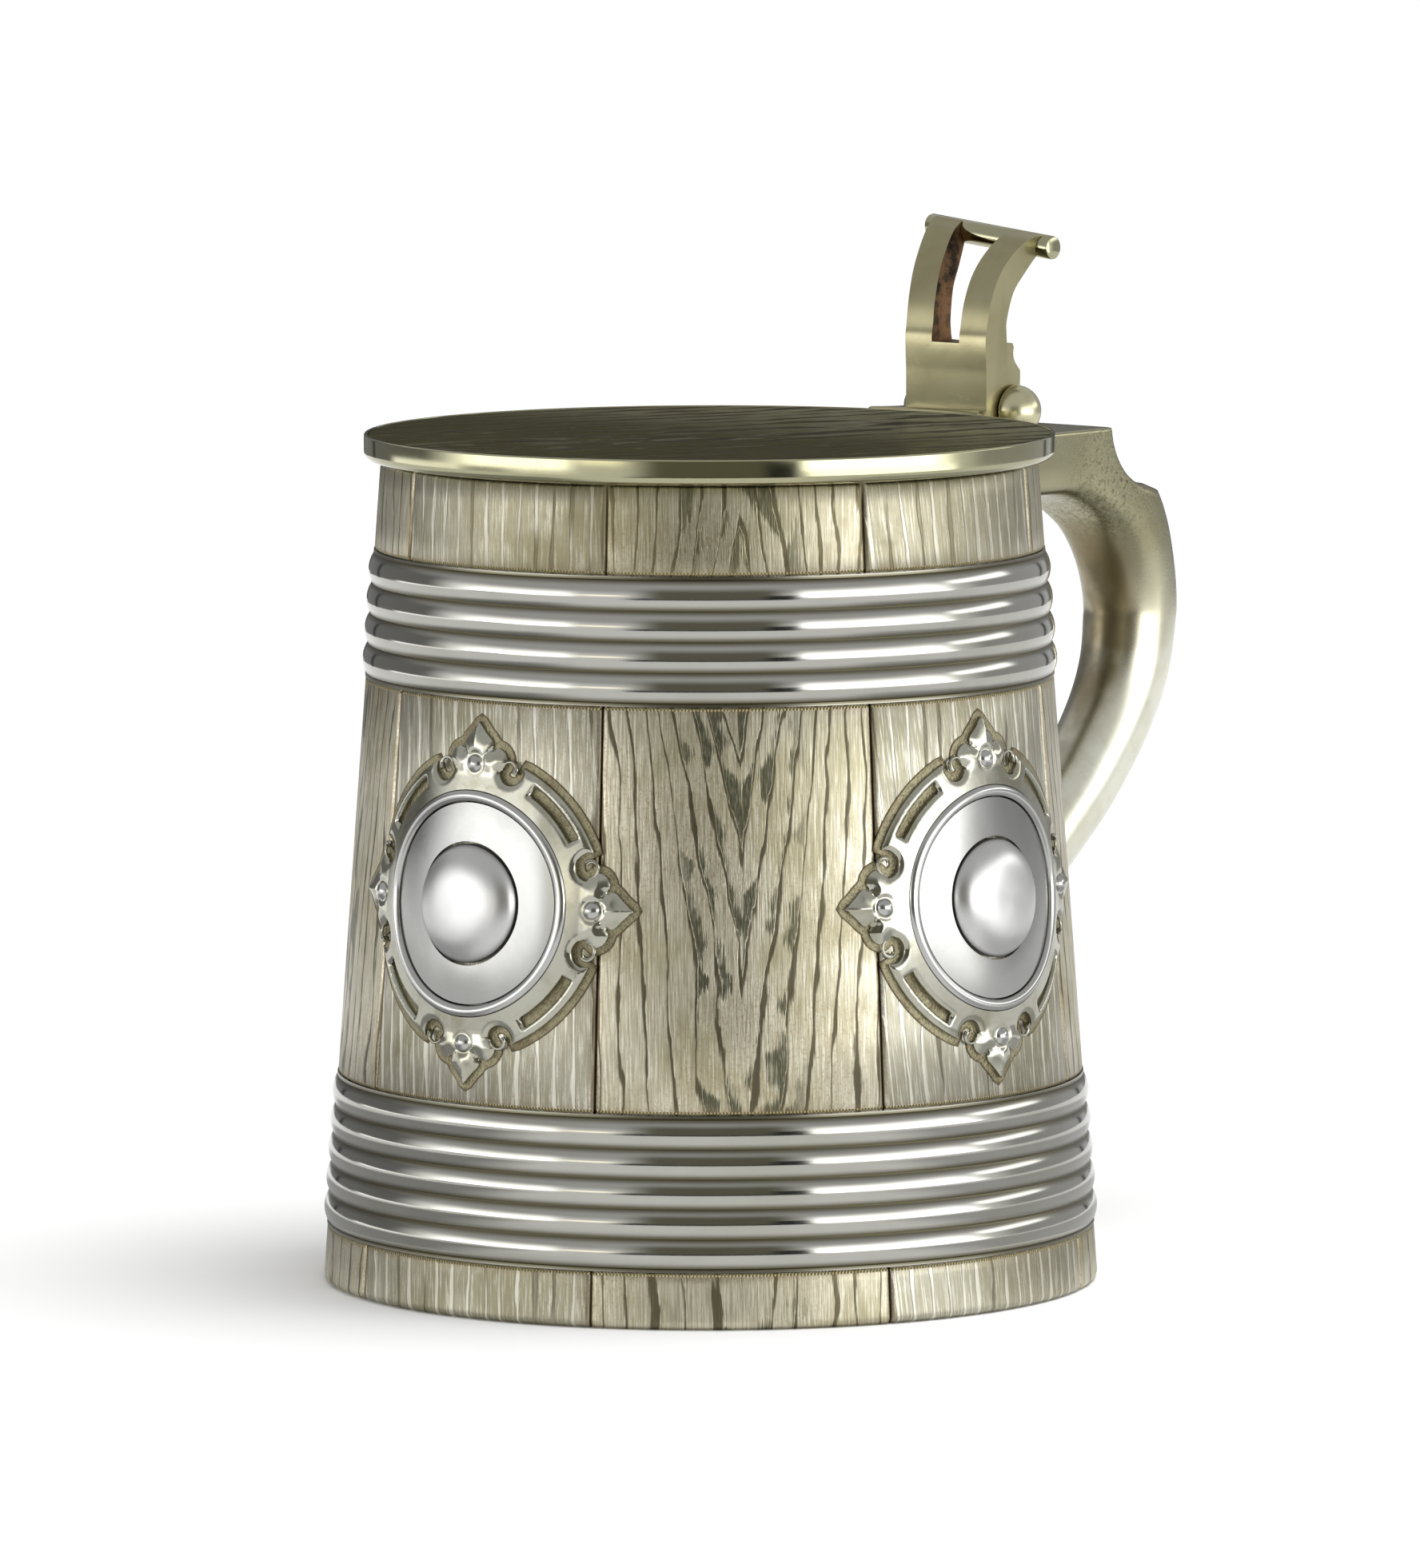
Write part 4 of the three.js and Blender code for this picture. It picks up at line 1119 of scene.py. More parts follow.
def fleur_relief(points):
    """Height that the carving adds to the plate on the four fleurs-de-lis."""
    relief = np.zeros(len(points))
    for q in range(4):
        u, v = spin(points, -q).T
        away = np.hypot(u, v - BEAD_REACH)
        angle = np.arctan2(u, v - BEAD_REACH)
        # a crease runs from the bead to each notch, and a sharp fold along the petal
        crease = np.exp(-(((abs(angle) - 0.88) * away / 0.2) ** 2)) * smoothstep(1.4, 2.6, away)
        fold = np.exp(-abs(u) / 0.9) * smoothstep(1.5, 2.6, away) * (v > BEAD_REACH)
        moat = np.exp(-(((away - BEAD_RADIUS - 0.15) / 0.32) ** 2))
        relief += on_one_fleur(u, v, 21.5) * (0.34 * fold - 0.26 * crease - 0.2 * moat)
    return relief


def on_fleurs(points):
    """1 on the four fleurs-de-lis and 0 on the band."""
    share = np.zeros(len(points))
    for q in range(4):
        share += on_one_fleur(*spin(points, -q).T, 22.5)
    return share


def build_boss_curls(side, turns):
    """The scrolls that curl up inside the eight hooks."""
    points, faces = [], []
    columns, steps = 10, 20
    for q in range(4):
        for mirror in (1, -1):
            centre = spin((HOOK_MIDDLE[0] * mirror, HOOK_MIDDLE[1]), q)
            first = len(points)
            for i in range(steps + 1):
                # from the mouth of the hook a thin wire winds inwards, rises and thickens to a ball
                share = i / steps
                angle = TURN * (q / 4 + (0.5 - 0.5 * mirror) / 2) + mirror * TURN * (0.5 - 0.6 * share)
                reach = CURL_REACH - 1.15 * share
                wire = 0.16 + 0.36 * share**1.5
                for j in range(columns):
                    around = TURN * j / columns
                    r = reach + wire * math.cos(around)
                    u, v = centre + r * np.array([math.cos(angle), math.sin(angle)])
                    points.append((u, v, 0.62 + 0.2 * share + wire * math.sin(around)))
            faces += rows_to_faces(steps + 1, columns, first=first) + end_faces(steps + 1, columns, first)
    u, v, off = np.array(points).T
    placed_points = on_wall(u, v, off, turns)
    new_piece(f"boss_curls_{side}", placed_points, faces, strapwork_metal, "cup", [], 60)


def mark_outline(piece, outline, turns):
    """Marks the points of a sheet that lie on its outline, for the dark line round it."""
    x, y, z = np.array([vertex.co for vertex in piece.data.vertices]).T / MM
    angle = np.arctan2(y, x) - TURN * turns
    angle = (angle + TURN / 2) % TURN - TURN / 2
    flat = np.stack([angle * wall_radius(z), z - BOSS_HEIGHT], -1)
    mark_points(piece, (distance_to(flat, outline) < 0.1).astype(float))


def ring(radius, points):
    """A closed circle round the middle of a boss."""
    return arc(0, 0, radius, 0, 1, points)[:-1]


def build_boss_plate(side, turns):
    """The strapwork plate and the matted ground that shows round it."""
    outline = strapwork_outline()
    slots = slot_outlines()
    border = offset_outline(outline, BORDER_WIDTH)

    # the matted ground under and round the plate
    hole = ring(RING_INSIDE + 0.6, 96)
    flat, faces = sheet_between(border, [hole], [offset_outline(border, -0.35)], 1.6)
    heights = np.full(len(flat), SEAT)
    name = f"boss_ground_{side}"
    ground = raised_sheet(name, flat, faces, heights, GROUND_FLOOR, turns, matted, [], 60)
    mark_outline(ground, border, turns)

    # the plate itself, with rounded edges and a soft crown across its band
    extra = [offset_outline(outline, -inset) for inset in (0.18, 0.42, 0.8)]
    for q in range(4):
        bead = spin((0, BEAD_REACH), q)
        extra += [ring(BEAD_RADIUS + outset, 30) + bead for outset in (0.0, 0.25, 0.5)]
    flat, faces = sheet_between(outline, [ring(RING_OUTSIDE + 0.06, 96), *slots], extra, 0.3)
    edge = distance_to(flat, outline)
    for hole in slots:
        edge = np.minimum(edge, distance_to(flat, hole) * 1.6)
    radius = np.hypot(*flat.T)
    fleurs = on_fleurs(flat)
    shoulder = 1 - (1 - np.clip(edge / (0.9 + 1.3 * fleurs), 0, 1)) ** 2
    # the band falls away from the ring
    slope = 1 - np.clip((radius - RING_OUTSIDE) / 6.0, 0, 1)
    rise = (PLATE_RISE + FLEUR_RISE * fleurs) * shoulder
    heights = PLATE_EDGE + rise + PLATE_SLOPE * slope + fleur_relief(flat)
    name, node = f"boss_plate_{side}", f"boss_frame_{side}"
    raised_sheet(name, flat, faces, heights, PLATE_FLOOR, turns, strapwork_metal, [node], 50)


def rounds_on_wall(section, turns, columns, centre=(0, 0)):
    """Rows of points round a place on a boss, one row for each (reach, off) point of the section."""
    angles = TURN * np.arange(columns) / columns
    rows = []
    for reach, off in section:
        u = centre[0] + reach * np.cos(angles)
        v = centre[1] + reach * np.sin(angles)
        rows.append(on_wall(u, v, off, turns))
    return np.concatenate(rows)


def build_boss_rounds(side, turns):
    """The ring, the dish inside it and the dome in the middle."""
    columns = 96
    # the front boss looks along X and the side ones along Y
    axis = "X" if turns == 0.5 else "Y"
    half = (RING_OUTSIDE - RING_INSIDE) / 2
    section = [(RING_INSIDE, SEAT), (RING_INSIDE, RING_SHOULDER)]
    for u, v in arc(0, 0, half, 0.5, 0, 14)[1:-1]:
        section.append((RING_INSIDE + half + u, RING_SHOULDER + 0.8 * v))
    section += [(RING_OUTSIDE, RING_SHOULDER), (RING_OUTSIDE, SEAT)]
    points = rounds_on_wall(section, turns, columns)
    faces = rows_to_faces(len(section), columns, joined=True)
    name, node = f"boss_moulding_{side}", f"boss_ring_{side}"
    new_piece(name, points, faces, satin_silver, "cup", [node], 60)

    inner = DOME_RADIUS + DOME_GROOVE
    section = [(inner, SEAT), (DISH_RADIUS, SEAT), (DISH_RADIUS, DISH_EDGE - 0.15)]
    for share in np.linspace(0.985, 0, 16):
        section.append((inner + (DISH_RADIUS - inner) * share, DISH_EDGE + DISH_RISE * (1 - share**2)))
    section.append((inner, DISH_EDGE + DISH_RISE - 0.25))
    points = rounds_on_wall(section, turns, columns)
    faces = rows_to_faces(len(section), columns, joined=True)
    name, node = f"boss_disc_{side}", f"boss_dish_{side}"
    new_piece(name, points, faces, dish_silver[axis], "cup", [node])

    foot = DISH_EDGE + DISH_RISE - 0.3
    section = [(DOME_RADIUS - 0.05, SEAT), (DOME_RADIUS, foot)]
    # the dome rises from a steep shoulder to a broad, rather flat crown
    for share in np.sqrt(1 - np.linspace(0.05, 0.97, 20) ** 2):
        section.append((DOME_RADIUS * share, foot + DOME_HEIGHT * (1 - share**3.6) ** 0.58))
    points = rounds_on_wall(section, turns, columns)
    tip = on_wall(np.zeros(1), np.zeros(1), foot + DOME_HEIGHT, turns)
    faces = rows_to_faces(len(section), columns) + fan(len(points), len(points) - columns, columns)
    faces.append(tuple(range(columns - 1, -1, -1)))
    name, node = f"boss_cap_{side}", f"boss_dome_{side}"
    new_piece(name, np.concatenate([points, tip]), faces, dome_silver[axis], "cup", [node])


def build_boss_bead(side, turns, quarter):
    """A round bead in its hollow on one fleur-de-lis."""
    columns = 24
    section = [(BEAD_RADIUS * 0.98, 0.45), (BEAD_RADIUS, BEAD_SHOULDER)]
    for angle in np.linspace(0.2, 1.45, 7):
        section.append((BEAD_RADIUS * math.cos(angle), BEAD_SHOULDER + BEAD_HEIGHT * math.sin(angle)))
    centre = spin((BEAD_REACH, 0), quarter)
    points = rounds_on_wall(section, turns, columns, centre)
    faces = rows_to_faces(len(section), columns) + end_faces(len(section), columns)
    name, node = f"boss_pearl_{side}_{quarter + 1}", f"boss_bead_{side}_{quarter + 1}"
    new_piece(name, points, faces, satin_silver, "cup", [node])


def build_bosses():
    """The three bosses, each with its four beads."""
    for side, turns in BOSS_TURNS.items():
        build_boss_plate(side, turns)
        build_boss_rounds(side, turns)
        build_boss_curls(side, turns)
        for quarter in range(4):
            build_boss_bead(side, turns, quarter)


# Lid

def build_lid():
    """The grained plate, the band round it and the flange that drops into the mouth."""
    plate_radius = LID_RADIUS - LID_MARGIN
    floor = LID_TOP - LID_PLATE
    corners = [(0, floor), (plate_radius, floor), (plate_radius, LID_TOP), (0, LID_TOP)]
    profile = rounded(corners, [0, 0.1, 0.12, 0], 3)
    shares = (0.25, 0.5, 0.75, 0.95)
    profile[1:1] = [(plate_radius * share, floor) for share in shares]
    profile[-1:-1] = [(plate_radius * share, LID_TOP) for share in reversed(shares)]
    vertices, faces = lathe(profile)
    piece = new_piece("lid_top", vertices, faces, lid_metal, "lid", ["lid_plate"])
    # the underside is plain
    give_second_finish(piece, inside_gilt, lambda middle, normal: middle.z < LID_TOP - 0.3)

    bezel_out = RIM_RADIUS - WALL - 0.45
    inside = bezel_out + FIT_GAP
    rim_in = plate_radius + 0.08
    crest = LID_TOP + 0.1
    corners = [(inside, floor), (inside, LID_SEAT), (LID_RADIUS, LID_SEAT)]
    corners += [(LID_RADIUS, crest), (rim_in, crest), (rim_in, floor)]
    profile = rounded(corners, RIM_ROUNDINGS, 8)
    vertices, faces = lathe(profile, 256)
    new_piece("lid_band", vertices, faces, polished_gilt, "lid", ["lid_rim"])

    low = CUP_HEIGHT - BEZEL_DEPTH
    bezel_in = bezel_out - BEZEL_THICKNESS
    corners = [(bezel_in, low), (bezel_out, low), (bezel_out, floor), (bezel_in, floor)]
    vertices, faces = lathe(rounded(corners, [0.4, 0.4, 0.1, 0.1], 4), 192)
    new_piece("lid_flange", vertices, faces, inside_gilt, "lid", ["lid_bezel"])


def build_tongue():
    """The flared lug between the lid and the thumbpiece."""
    back = THUMB_FRONT + TONGUE_OVERLAP
    front = LID_RADIUS - 1.0
    half = THUMB_WIDTH / 2
    side = []
    for share in np.linspace(0, 1, 14):
        side.append((back + (front - back) * share, half + TONGUE_FLARE * share**2.6))
    outline = side + [(x, -y) for x, y in reversed(side)]
    high = LID_TOP + TONGUE_RISE
    count = len(outline)
    vertices = [(x, y, z) for z in (high - TONGUE_THICKNESS, high) for x, y in outline]
    lug = plain_mesh("tongue_lug", vertices, rows_to_faces(2, count) + end_faces(2, count))
    clear_of_lid = LID_RADIUS + TONGUE_GAP
    space = lathe([(0, 0), (clear_of_lid, 0), (clear_of_lid, 200), (0, 200)])
    joined_or_cut(lug, plain_mesh("lid_space", *space), "DIFFERENCE")
    soften_edges(lug, 0.25, 2)
    finish_piece(lug, satin_gilt, "lid", ["lid_tongue"])


# Handle

# A section of it is an inner and an outer edge point, the half width and the power of each half

BEND = (HANDLE_REACH - 2 * HANDLE_TUBE - ELBOW_RADIUS, BRACKET_TOP - BRACKET_DEPTH - ELBOW_RADIUS)


def bracket_sections():
    """The square arm, from inside the cup's wall towards the bend."""
    under = BRACKET_TOP - BRACKET_DEPTH
    start = wall_radius(BRACKET_TOP) - 1.0
    sections = []
    for share in (0, 0.35, 0.7):
        x = start + (BEND[0] - start) * share
        sections.append(((x, under), (x, BRACKET_TOP), BRACKET_WIDTH / 2, ROUND + SOFT, ROUND + SQUARE))
    return sections


def bend_sections():
    """Round the bend: the bracket's end with its cove outside, and the back that runs down from it."""
    cove_start = 0.5 + math.asin(1 - COVE_DEPTH / COVE_RADIUS) / TURN
    cove_middle = (BRACKET_REACH + COVE_RADIUS, BRACKET_TOP - COVE_DEPTH + COVE_RADIUS)
    cove = arc(*cove_middle, COVE_RADIUS, cove_start, 0.75, 16)
    tip_rise = (BRACKET_TOP - COVE_DEPTH - COVE_LIP - BEND[1]) / BACK_RADIUS
    back = arc(HANDLE_REACH - BACK_RADIUS, BEND[1], BACK_RADIUS, math.asin(tip_rise) / TURN, 0, 18)
    flat_top = [(BEND[0] + (BRACKET_REACH - BEND[0]) * share, BRACKET_TOP) for share in (0, 0.3, 0.6, 0.9)]
    outside = [*flat_top, *cove, *back]
    # each outside point is matched with a point round the inner bend
    key_points = [(0, 0.0), (3, 0.16), (4, 0.2), (20, 0.5), (21, 0.54), (39, 1.0)]
    match = np.interp(range(len(outside)), *zip(*key_points))
    sections = []
    for i, (point, share) in enumerate(zip(outside, match)):
        angle = TURN / 4 * share
        inner = (BEND[0] + ELBOW_RADIUS * math.sin(angle), BEND[1] + ELBOW_RADIUS * math.cos(angle))
        tip = max(0.0, (i - 4) / (len(outside) - 5))
        half = BRACKET_WIDTH / 2 + (HANDLE_TUBE - BRACKET_WIDTH / 2) * tip**2
        outer_power = ROUND + SQUARE * (1 - tip) ** 3.2
        inner_power = ROUND + SOFT * (1 - share) ** 2
        sections.append((inner, tuple(point), half, inner_power, outer_power))
    return sections


def tube_sections():
    """The tube, which narrows from the bend down to the wall of the cup."""
    sections = []
    foot = wall_radius(FOOT_HEIGHT)
    run = HANDLE_REACH - HANDLE_TUBE - foot
    drop = BEND[1] - FOOT_HEIGHT
    line = smooth_curve([(foot + run * u, FOOT_HEIGHT + drop * w) for u, w in TUBE_RUN_SHARES], 6)
    ahead = np.gradient(line, axis=0)
    ahead /= np.hypot(*ahead.T)[:, None]
    for i in range(1, len(line)):
        share = i / (len(line) - 1)
        radius = HANDLE_TIP + (HANDLE_TUBE - HANDLE_TIP) * (1 - share) ** 1.5
        x, z = line[i]
        across = np.array([ahead[i][1], -ahead[i][0]]) * radius
        inner, outer = (x + across[0], z + across[1]), (x - across[0], z - across[1])
        sections.append((inner, outer, radius, ROUND, ROUND))
    return sections


def build_handle():
    """The tube and its square bracket as one skin, cut off at the wall of the cup."""
    columns = 48
    vertices = []
    sections = [*bracket_sections(), *bend_sections(), *tube_sections()]
    for inner, outer, half, inner_power, outer_power in sections:
        inner, outer = np.array(inner), np.array(outer)
        for i in range(columns):
            angle = TURN * i / columns
            along, across = math.cos(angle), math.sin(angle)
            power = 2 / (outer_power if along > 0 else inner_power)
            reach = (1 + math.copysign(abs(along) ** power, along)) / 2
            x, z = inner + (outer - inner) * reach
            vertices.append((x, math.copysign(abs(across) ** power, across) * half, z))
    faces = rows_to_faces(len(sections), columns) + end_faces(len(sections), columns)
    piece = plain_mesh("handle_tube", vertices, faces)
    low, high = -5, CUP_HEIGHT + 5
    space = [(0, low), (wall_radius(low) + 0.05, low), (wall_radius(high) + 0.05, high), (0, high)]
    joined_or_cut(piece, plain_mesh("cup_space", *lathe(space, 192)), "DIFFERENCE")
    finish_piece(piece, handle_gilt, "cup", ["handle"], 28)


# Hinge and thumbpiece

def rod_across(radius, low, high, x, z, columns=48, rounding=0.25, dip=0.0):
    """A round rod along Y with softened ends. Its middle line falls towards -Y by dip per millimetre."""
    section = [(0, low), (radius - rounding, low)]
    section += [(radius - rounding * 0.3, low + rounding * 0.3), (radius, low + rounding)]
    section += [(r, high + low - y) for r, y in reversed(section)]
    vertices, faces = lathe(section, columns)
    points = np.array(vertices)
    # the lathe's axis becomes Y
    turned = np.stack([x + points[:, 0], points[:, 2], z - points[:, 1] + dip * points[:, 2]], -1)
    return turned, faces


def thumb_points(shares):
    """Points of the fork's side view from shares of its lean and its rise."""
    return [(THUMB_FRONT + THUMB_LEAN * u, HINGE[1] + THUMB_RISE * w) for u, w in shares]


def bar_place():
    """The middle of the bar across the crest, in the side view."""
    return THUMB_FRONT + THUMB_LEAN, HINGE[1] + THUMB_RISE - BAR_RADIUS


def flared(points, side):
    """Leans a leg outwards, more and more towards the crest, with the bar's own dip."""
    points = np.array(points, float)
    above = points[:, 2] - HINGE[1] - THUMB_SLOT_RISE
    span = THUMB_RISE - THUMB_SLOT_RISE + THUMB_LEAN
    share = np.where(above > 0, np.clip((above + points[:, 0] - THUMB_FRONT) / span, 0, None), 0)
    points[:, 1] += side * THUMB_FLARE * share**2
    points[:, 2] += BAR_DIP * points[:, 1] * share**2
    return points


def in_thumb_slot(middle, normal):
    """Whether a face of the fork is a wall or the floor of its slot."""
    above = middle.z - HINGE[1] - THUMB_SLOT_RISE
    inwards = abs(normal.y) > 0.7 and middle.y * normal.y < 0
    wall = inwards and abs(middle.y) < THUMB_SLOT / 2 + THUMB_FLARE
    floor = normal.z > 0.8 and abs(middle.y) < THUMB_SLOT / 2 and abs(above) < 0.3
    return above > -0.3 and (wall or floor)


def thumb_profiles():
    """The side view of a leg, and that of the block below the slot, where the two legs are one."""
    sole = HINGE[1] - THUMB_SOLE
    foot = [(HINGE[0], HINGE[1]), (HINGE[0], sole), (THUMB_FRONT, sole)]
    front = smooth_curve(thumb_points(THUMB_FRONT_SHARES), 5).tolist()
    rear = smooth_curve(thumb_points(THUMB_REAR_SHARES), 5).tolist()
    ledge, *below = thumb_points(THUMB_STEP_SHARES)
    step = [ledge, *smooth_curve(below, 4).tolist()]
    leg = [*foot, *front, bar_place(), *rear, *step]
    slot_bottom = HINGE[1] + THUMB_SLOT_RISE
    block = [*foot, *[p for p in front if p[1] < slot_bottom]]
    block += [(front[6][0], slot_bottom), (ledge[0], slot_bottom)]
    block += [p for p in step if p[1] < slot_bottom - 0.01]
    return leg, block


def thumb_cutters():
    """The room for the middle knuckle, the space under it and the groove for the bar."""
    radius = KNUCKLE_RADIUS + KNUCKLE_ROOM
    half = KNUCKLE_LENGTH / 2 + KNUCKLE_SIDE_ROOM
    low, high = HINGE[0] - radius, HINGE[0] + radius
    under = HINGE[1] - THUMB_SOLE - 5
    return [
        rod_across(radius, -half, half, *HINGE, rounding=0.02),
        prism_across([(low, HINGE[1]), (low, under), (high, under), (high, HINGE[1])], -half, half),
        rod_across(BAR_RADIUS + 0.05, -BAR_LENGTH, BAR_LENGTH, *bar_place(), dip=BAR_DIP),
    ]


def build_thumbpiece():
    """The fork with its foot and outer knuckles, and the bar across its crest."""
    half, half_slot = THUMB_WIDTH / 2, THUMB_SLOT / 2
    leg, block = thumb_profiles()
    piece = plain_mesh("thumb_fork", *rod_across(KNUCKLE_RADIUS, -half, half, *HINGE, rounding=0.05))
    for side, low, high in ((1, half_slot, half), (-1, -half, -half_slot)):
        vertices, faces = prism_across(leg, low, high)
        joined_or_cut(piece, plain_mesh("leg", flared(vertices, side), faces), "UNION")
    block = prism_across(block, -half_slot - 1, half_slot + 1)
    joined_or_cut(piece, plain_mesh("block", *block), "UNION")
    for cutter in thumb_cutters():
        joined_or_cut(piece, plain_mesh("cutter", *cutter), "DIFFERENCE")
    soften_edges(piece, 0.28, 3, 35)
    finish_piece(piece, satin_gilt, "lid", ["thumbpiece"], 40)
    # painted shade: the walls and floor of the slot are painted nearly black
    give_second_finish(piece, slot_shade, in_thumb_slot)

    half = BAR_LENGTH / 2
    vertices, faces = rod_across(BAR_RADIUS, -half, half, *bar_place(), rounding=0.4, dip=BAR_DIP)
    new_piece("thumb_rod", vertices, faces, polished_gilt, "lid", ["thumb_bar"])


def build_hinge():
    """The middle knuckle on its foot, the pin and the ball caps on its ends."""
    half = KNUCKLE_LENGTH / 2
    piece = plain_mesh("hinge_knuckle", *rod_across(KNUCKLE_RADIUS, -half, half, *HINGE))
    low = BRACKET_TOP + SEAT_GAP
    back = HINGE[0] - KNUCKLE_RADIUS
    end = back + KNUCKLE_FOOT
    foot = [(back, low), (end, low), (end, low + 1.0)]
    foot += [(HINGE[0] + KNUCKLE_RADIUS, HINGE[1] - KNUCKLE_RADIUS / 2), HINGE, (back, HINGE[1])]
    joined_or_cut(piece, plain_mesh("foot", *prism_across(foot, -half, half)), "UNION")
    soften_edges(piece, 0.2, 2, 40)
    finish_piece(piece, satin_gilt, "cup", ["handle_knuckle"])

    half = THUMB_WIDTH / 2 + PIN_END
    vertices, faces = rod_across(PIN_RADIUS, -half, half, *HINGE, 24)
    new_piece("hinge_rod", vertices, faces, polished_gilt, "lid", ["hinge_pin"])

    for name, side in (("near", -1), ("far", 1)):
        profile = [(0, 0.05), (CAP_RADIUS - 0.35, 0.05), (CAP_RADIUS - 0.08, 0.25)]
        profile += arc(0, CAP_COLLAR, CAP_RADIUS, 0, 0.245, 16).tolist()
        profile.append((0, CAP_RADIUS + CAP_COLLAR))
        vertices, faces = lathe(profile, 64)
        points = np.array(vertices)
        base = THUMB_WIDTH / 2 + 0.15
        across = side * (base + points[:, 2])
        turned = np.stack([HINGE[0] + points[:, 0], across, HINGE[1] + points[:, 1]], -1)
        new_piece(f"ball_cap_{name}", turned, faces, cap_gilt, "lid", [f"hinge_cap_{name}"])


build_cup_wall()
build_base_plate()
for hoop_name, (hoop_bottom, hoop_height, hoop_reeds) in HOOPS.items():
    build_hoop(hoop_name, hoop_bottom, hoop_height, hoop_reeds)
build_bosses()
build_lid()
build_tongue()
build_handle()
build_thumbpiece()
build_hinge()


# Camera: at the photograph's place, in the frame's axes

CAMERA_DISTANCE = 2156.8  # from the cup's axis, level
CAMERA_HEIGHT = 309.84
CAMERA_TURN = 139.7  # degrees from the camera's direction round to the handle
CAMERA_PITCH = 6.089
CAMERA_ROLL = -0.093
FOCAL_PIXELS = 16848.0
IMAGE_HEIGHT = 1961
SENSOR = 36.0


def build_camera():
    """Sets the camera and gives the level direction from the cup to it."""
    data = bpy.data.cameras.new("camera")
    data.sensor_width = SENSOR
    data.lens = FOCAL_PIXELS * SENSOR / IMAGE_HEIGHT
    data.clip_start = 0.1
    data.clip_end = 50.0
    camera = placed("camera", data)
    turn = math.radians(CAMERA_TURN)
    back = Vector((math.cos(turn), -math.sin(turn), 0))
    place = back * CAMERA_DISTANCE * MM + Vector((0, 0, CAMERA_HEIGHT * MM))
    pitch = math.radians(CAMERA_PITCH)
    ahead = -back * math.cos(pitch) - Vector((0, 0, math.sin(pitch)))
    right = ahead.cross(Vector((0, 0, 1))).normalized()
    up = right.cross(ahead)
    roll = math.radians(CAMERA_ROLL)
    rolled_right = right * math.cos(roll) + up * math.sin(roll)
    rolled_up = up * math.cos(roll) - right * math.sin(roll)
    axes = Matrix((rolled_right, rolled_up, -ahead)).transposed().to_4x4()
    camera.matrix_world = Matrix.Translation(place) @ axes
    bpy.context.scene.camera = camera
    return back


camera_side = build_camera()


# Studio: pale floor, white surround, a broad light above, and panels and cards for the metal to mirror

FLOOR_SIZE = 12.0
FLOOR_LIFT = 0.14
OVERHEAD_STRENGTH = 2.75
OVERHEAD_WIDTH = 40  # degrees of sky that it fills
OVERHEAD_TURN = 80  # degrees to the right of the camera
OVERHEAD_RISE = 77
WORLD_FILL = 0.15

# Colours of cards
PLAIN = (1.0, 1.0, 1.0)
CREAM = (1.0, 0.96, 0.82)
STRAW = (0.92, 0.88, 0.68)


def build_world():
    """White where the camera and the metal see it, and a faint fill for all other light."""
    world = bpy.data.worlds.new("studio")
    bpy.context.scene.world = world
    world.use_nodes = True
    world.node_tree.nodes.clear()
    w = Wiring(world.node_tree)
    white = w.add("ShaderNodeBackground", {"Color": rgb(1, 1, 1), "Strength": 1.0})
    fill = w.add("ShaderNodeBackground", {"Color": rgb(1, 1, 1), "Strength": WORLD_FILL})
    mixed = w.add("ShaderNodeMixShader", {0: w.seen_rays(), 1: fill.outputs[0], 2: white.outputs[0]})
    w.add("ShaderNodeOutputWorld", {"Surface": mixed.outputs[0]})


def build_floor():
    """A wide sheet of white paper, which looks a little lighter than the light on it."""
    half = FLOOR_SIZE / 2
    mesh = bpy.data.meshes.new("floor")
    corners = [(-half, -half, 0), (half, -half, 0), (half, half, 0), (-half, half, 0)]
    mesh.from_pydata(corners, [], [(0, 1, 2, 3)])
    floor = placed("floor", mesh)
    material, w = bare_material("floor_paper")
    paper = w.add("ShaderNodeBsdfDiffuse", {"Color": rgb(0.9, 0.9, 0.9)})
    white = w.add("ShaderNodeEmission", {"Color": rgb(1, 1, 1), "Strength": FLOOR_LIFT})
    lifted = w.add("ShaderNodeAddShader", {0: paper.outputs[0], 1: white.outputs[0]})
    mixed = w.add("ShaderNodeMixShader", {0: w.seen_rays(), 1: paper.outputs[0], 2: lifted.outputs[0]})
    w.add("ShaderNodeOutputMaterial", {"Surface": mixed.outputs[0]})
    mesh.materials.append(material)


def build_overhead_light():
    """One broad light above, a little to the right of the camera, which the metal doesn't mirror."""
    data = bpy.data.lights.new("overhead", "SUN")
    data.energy = OVERHEAD_STRENGTH
    data.angle = math.radians(OVERHEAD_WIDTH)
    light = placed("overhead", data)
    turn, rise = math.radians(OVERHEAD_TURN), math.radians(OVERHEAD_RISE)
    level = Matrix.Rotation(turn, 3, "Z") @ camera_side
    towards = level * math.cos(rise) + Vector((0, 0, math.sin(rise)))
    light.rotation_euler = towards.to_track_quat("Z", "Y").to_euler()
    light.visible_glossy = False


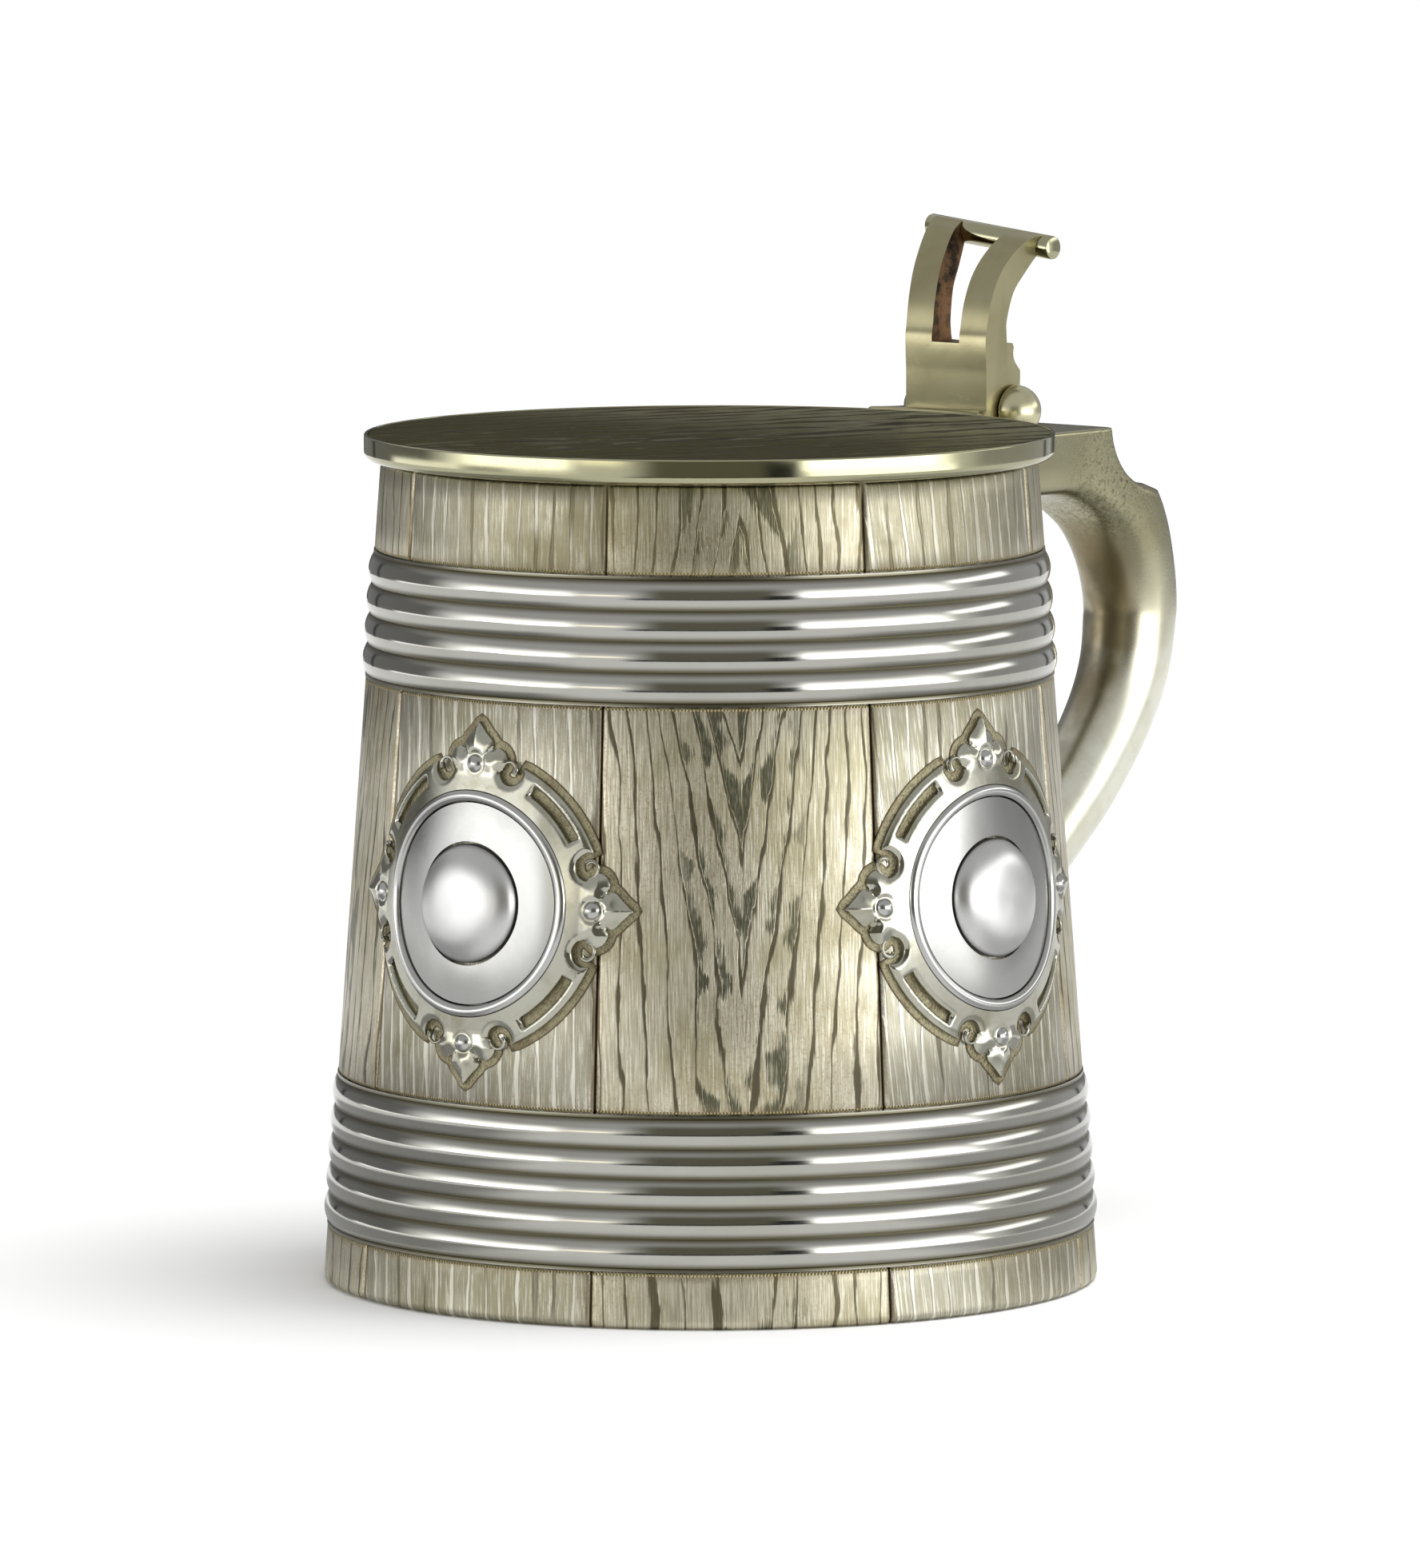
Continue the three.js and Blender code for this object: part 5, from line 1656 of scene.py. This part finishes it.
def card_mesh(name, turns, heights, distances):
    """A curved sheet, which carries the shares of its width and height for its material."""
    steps, levels = 24, 8
    row = levels + 1
    vertices, faces, shares = [], [], []
    for i in range(steps + 1):
        turn = math.radians(turns[0] + (turns[1] - turns[0]) * i / steps)
        level = Matrix.Rotation(turn, 3, "Z") @ camera_side
        for j in range(levels + 1):
            share = j / levels
            reach = distances[0] + (distances[1] - distances[0]) * share
            height = heights[0] + (heights[1] - heights[0]) * share
            vertices.append((level.x * reach, level.y * reach, height))
            shares.append((i / steps, share))
    for i in range(steps):
        for j in range(levels):
            a = i * row + j
            faces.append((a, a + row, a + row + 1, a + 1))
    mesh = bpy.data.meshes.new(name)
    mesh.from_pydata(vertices, [], faces)
    layer = mesh.uv_layers.new(name="share")
    for loop in mesh.loops:
        layer.data[loop.index].uv = shares[loop.vertex_index]
    return mesh


def card_material(name, strength, edges, colour):
    """A glow that fades away at the edges."""
    material, w = bare_material(name)
    parts = w.parts(w.add("ShaderNodeTexCoord").outputs["UV"])
    left, right, bottom, top = edges
    sides = w.times(w.steps(parts["X"], 0.0, left), w.steps(parts["X"], 1 - right, 1.0, 1.0, 0.0))
    fade = w.steps(parts["Y"], 1 - top, 1.0, 1.0, 0.0)
    ends = w.times(w.steps(parts["Y"], 0.0, bottom), w.times(fade, fade))
    glow = w.add("ShaderNodeEmission", {"Color": rgb(*colour), "Strength": strength}).outputs[0]
    clear = w.add("ShaderNodeBsdfTransparent").outputs[0]
    mixed = w.add("ShaderNodeMixShader", {0: w.times(sides, ends), 1: clear, 2: glow})
    w.add("ShaderNodeOutputMaterial", {"Surface": mixed.outputs[0]})
    return material


def build_card(name, turns, heights, distances, strength, edges, colour=PLAIN):
    """A curved card round the cup that only its metal sees: a dark card, or a glowing panel where its
    strength is above 1. Turns are degrees from the camera's side. Heights and distances go from its
    foot to its top. Edges are the soft shares at its two sides, its foot and its top."""
    card = placed(name, card_mesh(name, turns, heights, distances))
    card.data.materials.append(card_material(name, strength, edges, colour))
    card.visible_camera = False
    card.visible_diffuse = False
    card.visible_shadow = False


build_world()
build_floor()
build_overhead_light()

# Cards: name, turns, heights, distances, strength, edges (sides, foot and top) and colour
HARD = 0.001  # an edge that doesn't fade
build_card("left_panel", (-100, -42), (0.03, 0.6), (1.05, 1.05), 3.6, (0.4, 0.15, HARD, 0.93))
build_card("left_foot", (-132, -88), (0.0, 0.04), (1.04, 1.04), 2.0, (0.15, 0.1, HARD, HARD))
build_card("left_notch", (-90, -66), (0.0, 0.04), (1.03, 1.03), 0.3, (0.35, 0.35, HARD, 0.2))
build_card("left_gleam", (-68, -38), (0.0, 0.03), (1.04, 1.04), 1.6, (0.2, 0.5, HARD, HARD))
build_card("left_soft", (-50, -22), (0.05, 0.26), (1.06, 1.06), 2.3, (0.4, 0.4, 0.3, 0.5), CREAM)
build_card("left_back", (-170, -94), (0.0, 0.8), (1.08, 1.08), 0.22, (0.1, 0.2, HARD, 0.5))
build_card("left_floor", (-155, -38), (0.0015, 0.0015), (0.072, 0.3), 0.4, (0.15, 0.2, HARD, 0.5))
build_card("right_panel", (27, 91), (0.03, 0.85), (1.05, 1.05), 4.4, (0.1, 0.25, HARD, 0.93))
build_card("right_foot", (29, 90), (0.0, 0.08), (0.78, 0.78), 3.4, (0.1, 0.1, HARD, 0.35))
build_card("right_upper", (84, 124), (0.25, 0.6), (1.05, 1.05), 3.0, (0.2, 0.2, 0.3, 0.5))
build_card("right_back", (90, 158), (0.0, 0.8), (1.08, 1.08), 0.5, (0.2, 0.1, HARD, 0.5))
build_card("right_floor", (38, 155), (0.0015, 0.0015), (0.072, 0.3), 0.6, (0.2, 0.15, HARD, 0.5))
build_card("front_bar", (-30, 29), (0.0, 0.05), (0.5, 0.5), 0.03, (0.15, 0.1, HARD, 0.5))
build_card("front_dusk", (-29, 29), (0.0, 0.6), (0.52, 0.52), 0.2, (0.25, 0.2, HARD, 0.6), STRAW)
build_card("front_blob", (15, 30), (0.0, 0.17), (0.48, 0.48), 0.03, (0.35, 0.3, HARD, 0.35))
build_card("front_wedge", (-30, -16), (0.0, 0.09), (0.48, 0.48), 0.07, (0.8, 0.3, HARD, 0.5))
build_card("left_strip", (-149.5, -145.5), (0.0, 0.9), (1.0, 1.0), 0.03, (0.3, 0.3, HARD, 0.4))
build_card("right_strip", (145.5, 149.5), (0.0, 0.9), (1.0, 1.0), 0.03, (0.3, 0.3, HARD, 0.4))
build_card("back_card", (150, 210), (0.0, 0.8), (1.3, 1.3), 0.1, (0.2, 0.2, HARD, 0.4))
build_card("ceiling_card", (-180, 180), (0.3, 2.2), (1.4, 0.02), 0.62, (HARD, HARD, 0.15, HARD))

scene = bpy.context.scene
scene.view_settings.view_transform = "Standard"
